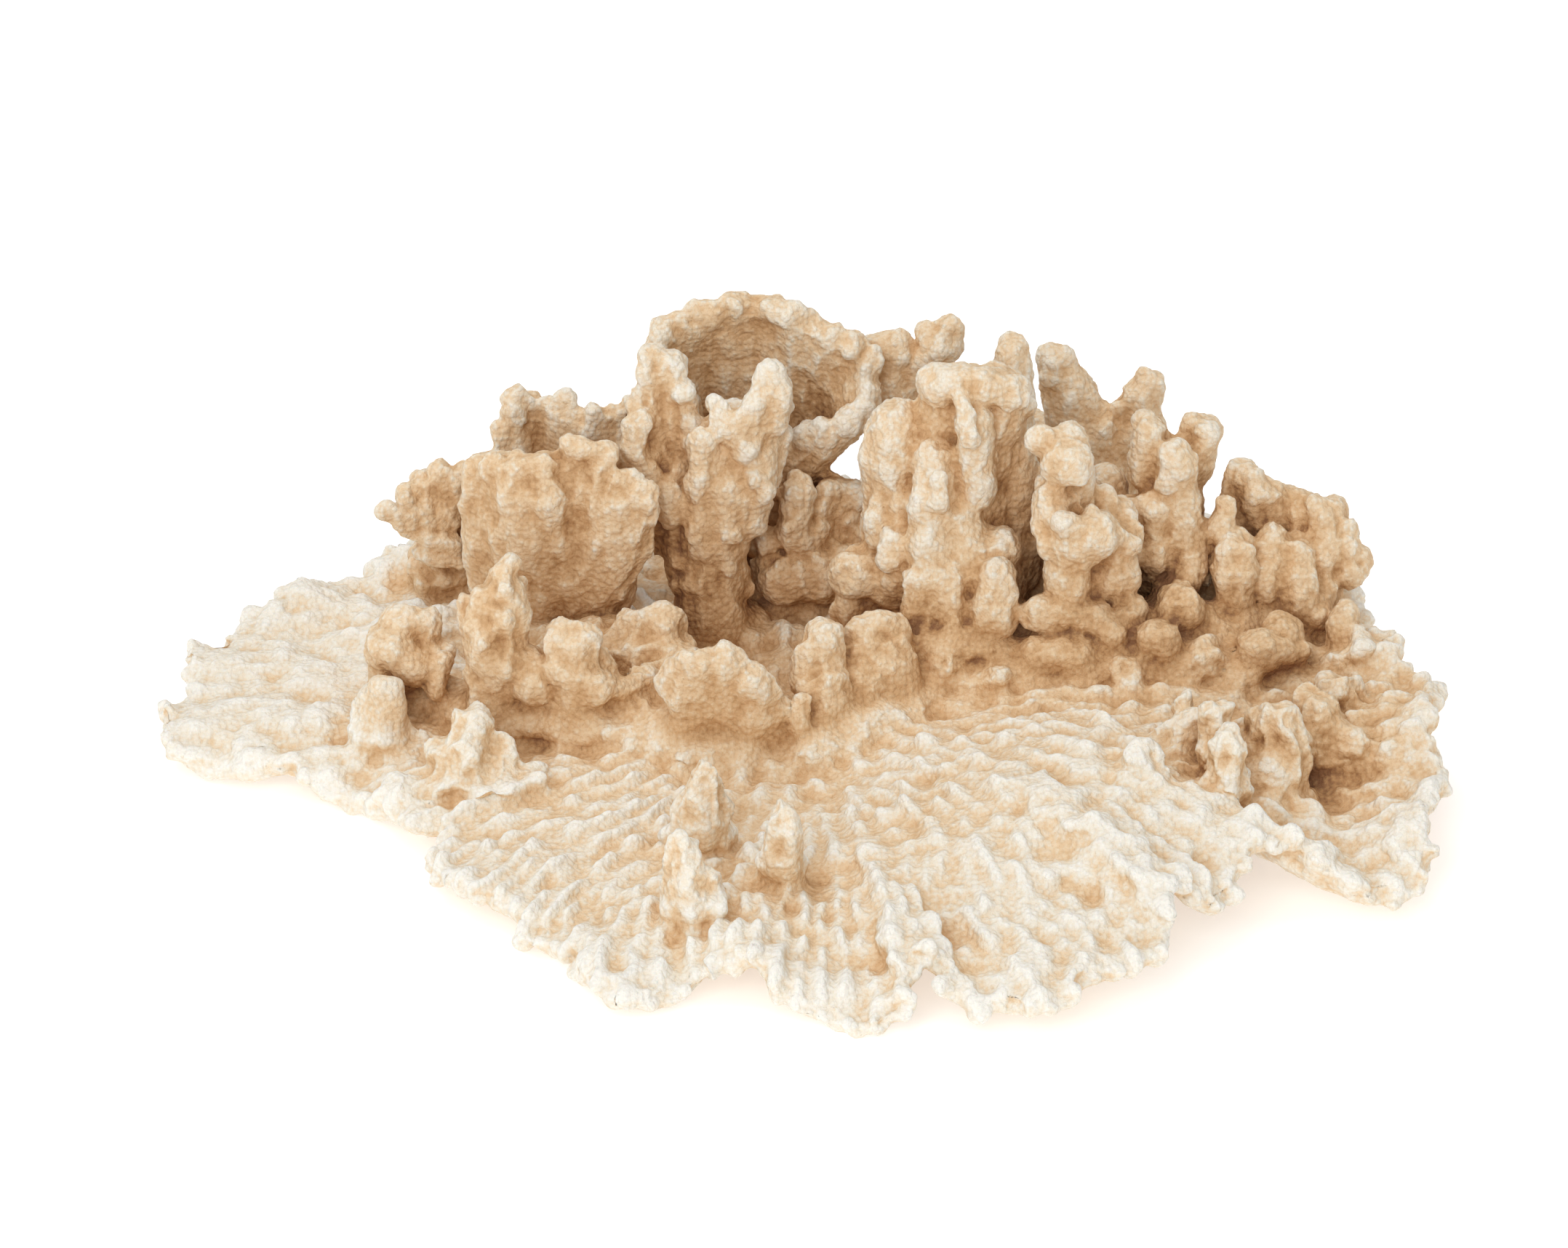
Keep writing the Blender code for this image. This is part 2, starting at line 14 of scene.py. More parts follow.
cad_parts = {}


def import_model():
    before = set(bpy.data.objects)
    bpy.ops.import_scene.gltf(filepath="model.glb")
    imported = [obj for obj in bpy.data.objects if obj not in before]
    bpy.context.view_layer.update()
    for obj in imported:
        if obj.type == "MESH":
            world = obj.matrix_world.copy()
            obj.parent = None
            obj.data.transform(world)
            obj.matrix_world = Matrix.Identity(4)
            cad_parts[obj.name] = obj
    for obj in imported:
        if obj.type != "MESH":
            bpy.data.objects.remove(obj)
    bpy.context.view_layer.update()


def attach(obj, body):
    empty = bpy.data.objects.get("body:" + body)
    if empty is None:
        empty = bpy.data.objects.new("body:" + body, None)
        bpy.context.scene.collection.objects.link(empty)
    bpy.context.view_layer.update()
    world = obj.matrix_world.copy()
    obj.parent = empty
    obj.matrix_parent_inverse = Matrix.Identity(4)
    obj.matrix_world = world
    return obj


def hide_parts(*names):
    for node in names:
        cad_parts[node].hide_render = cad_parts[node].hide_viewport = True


MM = 0.001
GRAIN = 0.58

# The plate's rim, from the left tip round the front, right and back: x, y and the height of its middle.
PLATE_RIM = [
    (-122, 3, 8), (-120, -6, 7), (-106, -11, 5), (-90, -17, 5), (-79, -27, 5), (-71, -36, 6), (-64, -41, 9),
    (-65, -54, 8), (-50, -70, 6), (-40, -82, 5), (-34, -95, 4), (-29, -99, 4), (-22, -96, 5), (-17, -90, 8),
    (-8, -92, 8), (-2, -99, 5), (10, -103, 4), (17, -102, 5), (18, -93, 9), (24, -95, 9), (30, -102, 6),
    (42, -103, 5), (52, -96, 8), (62, -89, 9), (63, -80, 12), (72, -76, 8), (76, -71, 8), (80, -64, 11),
    (90, -61, 11), (103, -64, 7), (113, -59, 10), (112, -50, 15), (118, -38, 18), (116, -24, 20),
    (120, -10, 21),
    (115, 2, 21), (113, 14, 20), (109, 30, 21), (108, 43, 19), (98, 58, 16), (94, 72, 17), (78, 84, 14),
    (62, 93, 16), (48, 104, 13), (32, 101, 16), (18, 106, 12), (2, 101, 13), (-12, 108, 13), (-28, 100, 16),
    (-44, 99, 13), (-58, 86, 16), (-70, 78, 14), (-77, 66, 16), (-88, 58, 14), (-99, 51, 15), (-106, 42, 12),
    (-112, 33, 12), (-121, 25, 10), (-117, 14, 10),
]
PLATE_THICK = 4.6
PLATE_LEVEL = 9.0
RIM_REACH = 3

# Swells and hollows of the plate: x, y, height, spread.
PLATE_SWELLS = [
    (50, -48, 11, 24),
    (56, -12, 2, 20),
    (-6, -34, -4, 15),
    (-2, 22, -3, 14),
    (-66, -56, -2, 20),
    (88, -20, -6, 9),
    (100, -42, -7, 9),
]
RUFFLE_COUNT = 23
RUFFLE_HEIGHT = 1.6

FOOT_RADIUS = 46
FOOT_HEIGHT = 9

LUMP_SIZE = 7
LUMP_HEIGHT = 1.8

FIRST_RIDGES = 17
RIDGE_SPACING = 4.8
UPRIGHT_KNOBS = 0.7

# Above this height everything is pressed down, to stay near the solids.
TALLEST = 74.5
PRESSED = 0.6

# Where the plate's skin is cut into pieces.
BACK_FROM_Y = 24
LEFT_TO_X = -30
RIGHT_FROM_X = 40
UNDERSIDE_SLOPE = -0.4
UNDERSIDE_SHARE = 0.35


def curve_through(points, count, closed=False):
    """Points evenly spread along a smooth curve through the given ones."""
    given = np.array(points, float)
    total = len(given)
    spans = total if closed else total - 1
    fine = 16
    path = []
    for i in range(spans):
        around = [i - 1, i, i + 1, i + 2]
        around = [k % total for k in around] if closed else [min(max(k, 0), total - 1) for k in around]
        a, b, c, d = given[around]
        t = np.arange(fine)[:, None] / fine
        bend = (2 * a - 5 * b + 4 * c - d) * t**2
        path.append(0.5 * (2 * b + (c - a) * t + bend + (3 * b - a - 3 * c + d) * t**3))
    path = np.vstack([*path, given[:1] if closed else given[-1:]])
    along = np.r_[0, np.cumsum(np.linalg.norm(np.diff(path, axis=0), axis=1))]
    wanted = np.linspace(0, along[-1], count, endpoint=not closed)
    return np.array([np.interp(wanted, along, path[:, k]) for k in range(path.shape[1])]).T


def object_from(mesh, name):
    made = bpy.data.objects.new(name, mesh)
    bpy.context.scene.collection.objects.link(made)
    return made


def sheet(grid, thick, wrap=False):
    """A closed sheet of even thickness round a grid of points, as a mesh."""
    rows, columns, _ = grid.shape
    shape = bmesh.new()
    bmesh.ops.create_grid(shape, x_segments=columns - 1, y_segments=rows - 1, size=1)
    corners = sorted(shape.verts, key=lambda v: (round(v.co.y, 5), round(v.co.x, 5)))
    for corner, place in zip(corners, grid.reshape(-1, 3)):
        corner.co = Vector(place)
    if wrap:
        bmesh.ops.remove_doubles(shape, verts=shape.verts, dist=0.01)
    bmesh.ops.recalc_face_normals(shape, faces=shape.faces)
    mesh = bpy.data.meshes.new("sheet")
    shape.to_mesh(mesh)
    shape.free()
    bare = object_from(mesh, "sheet")
    shell = bare.modifiers.new("thickness", "SOLIDIFY")
    shell.thickness = thick
    shell.offset = 0
    return evaluated(bare)


def evaluated(bare):
    """The object's mesh with its modifiers applied. The object goes."""
    mesh = bpy.data.meshes.new_from_object(bare.evaluated_get(bpy.context.evaluated_depsgraph_get()))
    bpy.data.objects.remove(bare)
    return mesh


def leaf(foot, rim, thick=4.5, rise=0.7, folds=3, fold_depth=1.0, belly=0.0):
    """An upright sheet that spreads from a foot line to a rim. Folds run from the foot to the rim."""
    columns, rows = 121, 41
    low = curve_through(foot, columns)
    high = curve_through(rim, columns)
    inward = low.mean(axis=0) - high
    high += inward * (thick / 2 / np.linalg.norm(inward, axis=1))[:, None]
    middle = low + (high - low) * np.array([1 - rise, 1 - rise, rise])
    u = np.linspace(0, 1, columns)
    grid = []
    for v in np.linspace(0, 1, rows):
        row = (1 - v) ** 2 * low + 2 * v * (1 - v) * middle + v**2 * high
        side = np.gradient(row, axis=0)
        out = np.cross(side, [0, 0, 1])
        out /= np.linalg.norm(out, axis=1)[:, None] + 1e-9
        wave = np.sin(2 * math.pi * folds * u + 2.2 * math.sin(7.3 * low[0][0])) * fold_depth * v
        bulge = belly * math.sin(math.pi * v) * np.sin(math.pi * u)
        grid.append(row + out * (wave + bulge)[:, None])
    return join([sheet(np.array(grid), thick), rim_beads(grid[-1], thick)], "leaf")


def rim_beads(rim, thick):
    """Uneven beads along the rim of a leaf."""
    chance = np.random.default_rng(round(abs(rim[0][0]) * 100))
    beads = []
    length = np.linalg.norm(np.diff(rim, axis=0), axis=1).sum()
    for x, y, z in curve_through(rim[::2], max(3, round(length / 2.6))):
        radius = thick * chance.uniform(0.36, 0.62)
        shift = chance.normal(0, 0.8, 3) * (1, 1, 0.6)
        beads.append((x + shift[0], y + shift[1], z + shift[2], radius))
    return balls(beads)


def unit_ball(subdivisions):
    shape = bmesh.new()
    bmesh.ops.create_icosphere(shape, subdivisions=subdivisions, radius=1)
    points = np.array([v.co[:] for v in shape.verts])
    faces = np.array([[v.index for v in face.verts] for face in shape.faces])
    shape.free()
    return points, faces


def mesh_from(points, faces, name):
    """A mesh of triangles from arrays of points and of the three points of each face."""
    mesh = bpy.data.meshes.new(name)
    mesh.vertices.add(len(points))
    mesh.vertices.foreach_set("co", points.astype(np.float32).ravel())
    mesh.loops.add(faces.size)
    mesh.loops.foreach_set("vertex_index", faces.astype(np.int32).ravel())
    mesh.polygons.add(len(faces))
    mesh.polygons.foreach_set("loop_start", np.arange(0, faces.size, 3, dtype=np.int32))
    mesh.update(calc_edges=True)
    return mesh


SMALL_BALL = unit_ball(2)
LARGE_BALL = unit_ball(3)


def balls(places):
    """Balls at places of (x, y, z, radius)."""
    points, faces, count = [], [], 0
    for x, y, z, radius in places:
        ball_points, ball_faces = SMALL_BALL if radius < 3.5 else LARGE_BALL
        points.append(ball_points * radius + (x, y, z))
        faces.append(ball_faces + count)
        count += len(ball_points)
    return mesh_from(np.vstack(points), np.vstack(faces), "balls")


def lumps(path, knobs=0.0):
    """A chain of overlapping balls along a path of (x, y, z, radius), with so many knobs for each ball."""
    path = np.array(path, float)
    chance = np.random.default_rng(round(abs(path).sum() * 10))
    places = []
    for start, end in list(zip(path[:-1], path[1:])) or [(path[0], path[0])]:
        length = np.linalg.norm(end[:3] - start[:3])
        steps = max(1, math.ceil(length / (0.4 * min(start[3], end[3]))))
        for k in range(steps + 1):
            x, y, z, radius = start + (end - start) * k / steps
            radius *= 1 + 0.12 * noise.noise(Vector((x, y, z)) * 0.25)
            places.append((x, y, z, radius))
            for _ in range(chance.poisson(knobs)):
                way = chance.normal(0, 1, 3) + (0, -0.3, 0.2)
                way *= radius * chance.uniform(0.85, 1.0) / np.linalg.norm(way)
                places.append((x + way[0], y + way[1], z + way[2], chance.uniform(1.5, 2.7)))
    return balls(places)


def branch(path):
    """A chain of lumps with the knobs of an upright."""
    return lumps(path, knobs=UPRIGHT_KNOBS)


def plate_height(x, y, share, rim_height):
    """Height of the middle of the plate's thickness, for a share of the way out to a rim of that height."""
    height = PLATE_LEVEL + (rim_height - PLATE_LEVEL) * share**RIM_REACH
    for centre_x, centre_y, swell, spread in PLATE_SWELLS:
        height += swell * math.exp(-((x - centre_x) ** 2 + (y - centre_y) ** 2) / (2 * spread**2))
    return height


def plate_sheet():
    """The ruffled plate, with folds that run out to its rim."""
    columns, rows = 481, 61
    rim = curve_through(PLATE_RIM, columns - 1, closed=True)
    rim = np.vstack([rim, rim[:1]])
    grid = []
    for share in np.linspace(0.02, 1, rows):
        row = []
        for k, (rim_x, rim_y, rim_height) in enumerate(rim):
            angle = 2 * math.pi * k / (columns - 1)
            swing = 1.5 * math.sin(2 * angle) + 1.1 * math.sin(3 * angle + 1)
            ruffle = RUFFLE_HEIGHT * share**3 * math.sin(RUFFLE_COUNT * angle + swing)
            x, y = rim_x * share, rim_y * share
            row.append((x, y, plate_height(x, y, share, rim_height) + ruffle))
        grid.append(row)
    grid = np.array(grid)
    return join([sheet(grid, PLATE_THICK, wrap=True), rim_beads(grid[-1], PLATE_THICK)], "plate")


def foot():
    """The stump that the plate grew from, with its flat cut."""
    shape = bmesh.new()
    bmesh.ops.create_cone(
        shape, cap_ends=True, segments=80, depth=FOOT_HEIGHT + 3,
        radius1=FOOT_RADIUS, radius2=FOOT_RADIUS * 1.25,
        matrix=Matrix.Translation((4, 2, FOOT_HEIGHT / 2 - 1.5)),
    )
    for corner in shape.verts:
        angle = math.atan2(corner.co.y, corner.co.x)
        corner.co.xy *= 1 + 0.07 * math.sin(3 * angle + 0.6) + 0.05 * math.sin(7 * angle)
    mesh = bpy.data.meshes.new("foot")
    shape.to_mesh(mesh)
    shape.free()
    return mesh


def plate_nubs():
    """What stands low on the plate: spikes, fins, the left mound and the ridge under the right columns."""
    return [
        lumps([(-18, -50, 8, 6), (-18, -52, 18, 5.2), (-17, -52, 25, 2.6)]),
        lumps([(-18, -77, 6, 6.5), (-19, -78, 15, 5.6), (-21, -78, 24, 2.6)]),
        lumps([(-3, -66, 8, 5), (-3, -69, 18, 4), (-3, -70, 25, 3.4)]),
        lumps([(-80, -8, 9, 6.5), (-80, -7, 17, 5)]),
        lumps([(62, -40, 16, 5), (62, -42, 22, 4)]),
        lumps([(78, -44, 12, 5.5), (78, -45, 22, 4.6), (78, -45, 28, 3.4)]),
        lumps([(88, -38, 8, 6), (88, -34, 16, 6), (88, -32, 25, 4.6)]),
        lumps([(96, -24, 8, 6), (97, -23, 16, 6), (97, -22, 22, 4.8)]),
        lumps([(101, -10, 12, 6), (102, -10, 20, 5)]),
        lumps([(96, -24, 18, 3), (104, -27, 18, 3)]),
        lumps([(70, -28, 13, 7), (72, -27, 22, 4)]),
        lumps([(24, 16, 13, 11), (52, 15, 17, 10.5), (78, 15, 17, 10.5), (98, 22, 16, 9)]),
        lumps([(26, 8, 12, 9), (52, 7, 15, 9.5), (78, 7, 15, 9.5), (96, 12, 14, 8)]),
        lumps([(24, 0, 8, 7), (50, -4, 10.5, 8), (80, -4, 10, 8), (97, 2, 10, 7)]),
        lumps([(34, 36, 16, 11), (60, 38, 16, 11), (88, 34, 16, 11)]),
        lumps([(-72, 6, 8, 8), (-57, -1, 9, 9), (-43, -4, 9, 10), (-30, -8, 8, 10), (-16, -13, 8, 9)]),
        lumps([(-16, -13, 8, 9), (-5, -17, 5, 7)]),
        lumps([(-52, 20, 10, 10), (-38, 15, 11, 12), (-28, 10, 14, 10), (-20, 2, 12, 9)]),
        lumps([(2, -16, 8, 7), (14, -8, 9, 8), (24, 3, 9, 8)]),
        lumps([(-8, 35, 6.5, 7), (8, 35, 6.5, 7)]),
        lumps([(-4, 26, 4, 8), (4, 26, 5, 8)]),
        lumps([(12, 23, 20, 5.5), (10.5, 22.5, 23.5, 5)]),
        lumps([(-31, 14, 20, 6.5), (-26, 12, 24, 5.2)]),
        lumps([(-70, -27, 7, 6), (-61, -26, 9, 6.5), (-52, -28, 8, 6)]),
        lumps([(-36, 22, 12, 9), (-28, 12, 15, 8), (-24, 2, 14, 8)]),
        lumps([(-92, 30, 8, 7), (-74, 34, 10, 7), (-58, 40, 10, 8)]),
    ]


def build_uprights():
    """Every upright: its name, the height of its fork, its root, and what grows above it."""
    return [
        (
            "left_scroll", 15,
            [(-68, 51, 11, 5), (-78, 54, 11, 5)],
            [
                leaf([(-69, 51, 12), (-67, 50, 28), (-66, 47, 42)],
                     [(-74, 51, 13), (-74, 50, 20), (-75, 47, 26), (-78, 45, 30), (-83, 43, 34),
                      (-80, 46, 39),
                      (-75, 48, 42), (-69, 46, 44)], folds=4, fold_depth=1.1, rise=0.5, belly=2),
                branch([(-72, 52, 12, 5), (-76, 53, 20, 3.6)]),
            ],
        ),
        (
            "left_fan", 15,
            [(-60, 34, 11, 6), (-48, 31, 11, 6.5), (-38, 33, 11, 6)],
            [
                leaf([(-61, 36, 12), (-50, 32, 12), (-37, 34, 12)],
                     [(-60, 37, 16), (-63, 35, 28), (-65, 34, 43), (-62, 32, 49), (-55, 29, 54),
                      (-47, 28, 54),
                      (-35, 28, 52), (-27, 24, 46.5), (-32, 29, 38), (-34, 33, 28), (-36, 36, 15)],
                     thick=5, folds=5, fold_depth=1.3, belly=4, rise=0.5),
            ],
        ),
        (
            "left_back_frill", 15,
            [(-56, 55, 11, 5), (-42, 56, 11, 5)],
            [
                leaf([(-57, 55, 12), (-49, 57, 12), (-38, 56, 12)],
                     [(-60, 55, 20), (-61, 54, 46), (-57, 54, 50), (-56, 55, 55.5), (-51, 56, 55),
                      (-46, 54, 53),
                      (-43, 56, 47), (-41, 53, 53), (-37, 53, 54), (-33, 54, 51), (-34, 57, 20)],
                     folds=3, fold_depth=1.5, rise=0.55),
            ],
        ),
        (
            "back_shell", 15,
            [(-18, 60, 11, 6), (-8, 63, 11, 6)],
            [
                leaf([(-20, 60, 12), (-13, 63, 12), (-6, 62, 12)],
                     [(-22, 58, 14), (-27, 56, 40), (-29, 54, 62), (-27, 56, 70), (-19, 59, 73),
                      (-10, 61, 74),
                      (-2, 60, 73), (6, 57, 70.5), (13, 55, 66), (15, 52, 60), (14, 50, 55), (8, 50, 51),
                      (1, 52, 47.5), (-1, 56, 34), (-3, 60, 15)],
                     thick=5.5, folds=3, fold_depth=1.2, belly=-4),
            ],
        ),
        (
            "centre_column", 15,
            [(-20, 38, 10, 8), (-12, 40, 10, 7)],
            [
                branch([(-17.5, 38, 12, 8), (-17.5, 38, 30, 7.2), (-14.5, 38, 42, 8), (-13, 40, 54, 5.5)]),
                branch([(-21, 40, 22, 5), (-24, 40, 34, 5.5), (-24, 40, 44, 5)]),
                leaf([(-26, 40, 22), (-20, 42, 24)],
                     [(-29, 38, 34), (-32, 38, 46), (-31.5, 39, 58), (-30.5, 41, 66), (-28, 42, 70),
                      (-23, 41, 65),
                      (-20, 40, 58), (-19, 42, 46)], thick=5.5, folds=2, fold_depth=0.5),
                leaf([(-13, 38, 42), (-9, 37, 42), (-5, 39, 42)],
                     [(-17, 41, 54), (-16, 36, 60), (-13, 33, 55), (-10, 33, 57), (-7, 35, 62), (-5, 38, 66),
                      (-2.5, 40, 63), (-2, 42, 52)], thick=5, folds=1, fold_depth=0.4),
                branch([(-10, 36, 36, 4.2), (-9.4, 36, 43, 4.5), (-8.4, 37, 50, 4)]),
            ],
        ),
        (
            "cup_wall", 15,
            [(-6, 47, 10, 6), (8, 48, 10, 6)],
            [
                leaf([(-8, 47, 12), (10, 48, 12)],
                     [(-8, 46, 18), (-8, 45, 28), (-4, 44, 31), (1, 44, 31), (4, 46, 33), (7, 50, 38),
                      (11, 52, 37),
                      (14, 52, 33), (13, 50, 16)], thick=5.5, folds=4, fold_depth=1.0),
                branch([(-3, 44, 20, 5.8), (9, 45, 21, 6)]),
                branch([(-1, 43, 30, 4.2), (-0.8, 43, 35, 3.8), (-0.4, 44, 38.6, 2.2)]),
                branch([(5, 50, 24, 4.6), (8, 50, 35, 3.8)]),
            ],
        ),
        (
            "back_knob_column", 15,
            [(21, 68, 11, 8)],
            [
                branch([(21, 68, 14, 8), (21, 67, 34, 6.4), (19.5, 65, 47, 6.2), (17.5, 65.5, 56, 7)]),
                branch([(13.5, 65.5, 58, 3.6), (18, 63.5, 61, 4)]),
                branch([(24, 63, 57, 4.6), (28.6, 62, 63.2, 4.2)]),
            ],
        ),
        (
            "tall_column", 30,
            [(34, 26, 20, 12), (20, 26, 20, 8), (34, 26, 27, 11), (20, 27, 27, 7)],
            [
                branch([(34, 28, 28, 10), (34, 28, 42, 8.4), (34, 28, 61, 8)]),
                branch([(41, 30, 30, 7.5), (41, 30, 44, 6.5), (40, 29, 56, 5)]),
                branch([(33, 25, 60, 6), (33, 24, 68, 5)]),
                branch([(28, 26, 62, 6), (28, 25, 68, 4.6)]),
                branch([(38, 26, 62, 6), (38, 26, 68, 4.8)]),
                branch([(41, 40, 50, 5), (42, 40, 62, 4), (42, 40, 71, 3.2)]),
                branch([(20, 27, 28, 6.5), (18, 27, 42, 6.2), (18, 26, 58, 6)]),
                branch([(26, 20, 56, 4), (26, 18, 48, 4.5), (25.3, 16, 39, 5.2), (27.5, 15, 32, 5)]),
                branch([(31, 18, 44, 4.5), (33, 16, 34, 6)]),
                branch([(38, 17, 38, 4.6), (37, 15, 32, 4.6)]),
                branch([(27, 18, 30, 6), (28, 14, 34, 5)]),
                branch([(16, 23, 31, 5.5), (11, 22.5, 30.5, 5.4)]),
                branch([(18, 22, 29, 6), (22, 20, 34, 6)]),
            ],
        ),
        (
            "knob_column", 30,
            [(56, 16, 20, 7.5), (56, 16, 27, 7.5)],
            [
                branch([(56, 16, 28, 7), (54, 17, 38, 6), (52, 18, 48, 5), (51, 17, 60, 4.4)]),
                branch([(51, 11, 42, 4.2), (56, 9, 45, 4.8)]),
                branch([(61, 13, 34, 4.4), (60, 14, 42, 4)]),
                branch([(56, 21, 33, 7), (58, 31, 33, 6), (59, 33, 40, 5.2), (60, 34, 44, 4.6)]),
                branch([(52, 10, 32, 4.6), (52, 11, 40, 4.6)]),
                branch([(50, 14, 47, 3.4), (49, 14, 51, 3)]),
            ],
        ),
        (
            "back_antler", 20,
            [(62, 62, 12, 7)],
            [
                branch([(62, 62, 18, 7), (63, 61, 38, 6), (58, 60, 48, 5), (54, 60, 55, 4.4),
                        (51, 60, 61, 3)]),
                branch([(64, 61, 40, 5), (68, 60, 49, 4.4), (70, 60, 55, 3.4)]),
            ],
        ),
        (
            "right_column", 30,
            [(73, 32, 20, 8), (73, 32, 27, 8)],
            [
                branch([(73, 33, 28, 7.5), (73, 33, 38, 6.4), (73, 34, 48, 5.4)]),
                branch([(70, 34, 48, 4.6), (69, 35, 55, 3.6)]),
                branch([(76, 35, 48, 4.6), (79, 36, 55, 3.6)]),
                branch([(73, 28, 46, 4.5), (73, 27, 53, 4)]),
                branch([(70, 26, 32, 5), (69, 26, 42, 4.4)]),
                branch([(76, 25, 32, 4.6), (77, 26, 38, 3.6)]),
            ],
        ),
        (
            "right_fan", 27,
            [(90, 30, 19, 7), (99, 28, 19, 7), (90, 30, 24, 7), (100, 28, 24, 7)],
            [
                leaf([(87, 32, 26), (94, 33, 26), (103, 29, 26)],
                     [(85, 35, 30), (85, 37, 38), (85, 36, 47), (87, 33, 49), (92, 35, 46), (97, 34, 43),
                      (104, 32, 43), (108, 28, 38), (110, 25, 31),
                      (107, 24, 26)], thick=6, folds=5, fold_depth=1.4,
                     rise=0.5),
                branch([(86, 24, 28, 4.4), (85, 24, 36, 3.6)]),
                branch([(97, 23, 27, 5.4), (97, 26, 33, 4.4)]),
            ],
        ),
        (
            "front_left_spire", 17,
            [(-58, -3, 11, 6)],
            [
                branch([(-58, -3, 12, 6), (-59, -4, 30, 5.4), (-60, -4, 36, 3.6)]),
                branch([(-56, -4, 30, 4.6), (-55, -4, 37, 4), (-56, -4, 42, 2.6)]),
            ],
        ),
        (
            "front_left_crown", 17,
            [(-76, 7, 11, 6)],
            [
                branch([(-77, 7, 12, 6), (-78, 6, 20, 5.6), (-79, 6, 24, 4)]),
                branch([(-72, 6, 20, 4.8), (-73, 6, 25, 4)]),
            ],
        ),
        (
            "front_frill", 17,
            [(-43, -4, 11, 7)],
            [
                branch([(-43, -5, 12, 7), (-43, -6, 24, 5.6), (-43, -6, 28, 4.4)]),
                branch([(-48, -5, 22, 4), (-38, -5, 22, 4)]),
            ],
        ),
        (
            "front_centre_leaf", 15,
            [(-18, -14, 9, 6), (-9, -15, 9, 5)],
            [
                leaf([(-20, -13, 12), (-8, -14, 12)],
                     [(-25, -14, 15), (-25, -15, 28), (-22, -16, 32.5), (-12, -16, 32), (-8, -15, 27),
                      (-3, -14, 21),
                      (-3, -13, 14)], thick=7, folds=2, fold_depth=0.6),
            ],
        ),
        (
            "centre_fin", 17,
            [(4, -10, 11, 6), (16, 0, 11, 7)],
            [
                branch([(4, -10, 12, 6), (4.4, -6, 20, 5.2), (4.4, -2, 27.5, 4.2)]),
                branch([(10, -5, 12, 6), (11, -1, 19, 5), (13, 3, 25.5, 4.4)]),
                branch([(18, 0, 14, 6), (18, 2, 20, 5), (18, 4, 24, 4.2)]),
            ],
        ),
        (
            "rear_fan", 15,
            [(-22, 84, 11, 6), (-8, 86, 11, 6)],
            [
                leaf([(-24, 83, 12), (-6, 86, 12)],
                     [(-32, 82, 18), (-34, 84, 30), (-26, 88, 36), (-16, 90, 37), (-6, 91, 34), (2, 90, 26),
                      (2, 88, 16)], folds=4, fold_depth=1.4),
            ],
        ),
        (
            "rear_right_fan", 15,
            [(36, 84, 11, 6), (50, 80, 11, 6)],
            [
                leaf([(34, 84, 12), (52, 79, 12)],
                     [(27, 86, 18), (28, 88, 30), (36, 90, 37), (46, 88, 40), (56, 84, 36), (62, 78, 26),
                      (58, 77, 16)], folds=4, fold_depth=1.4),
            ],
        ),
    ]


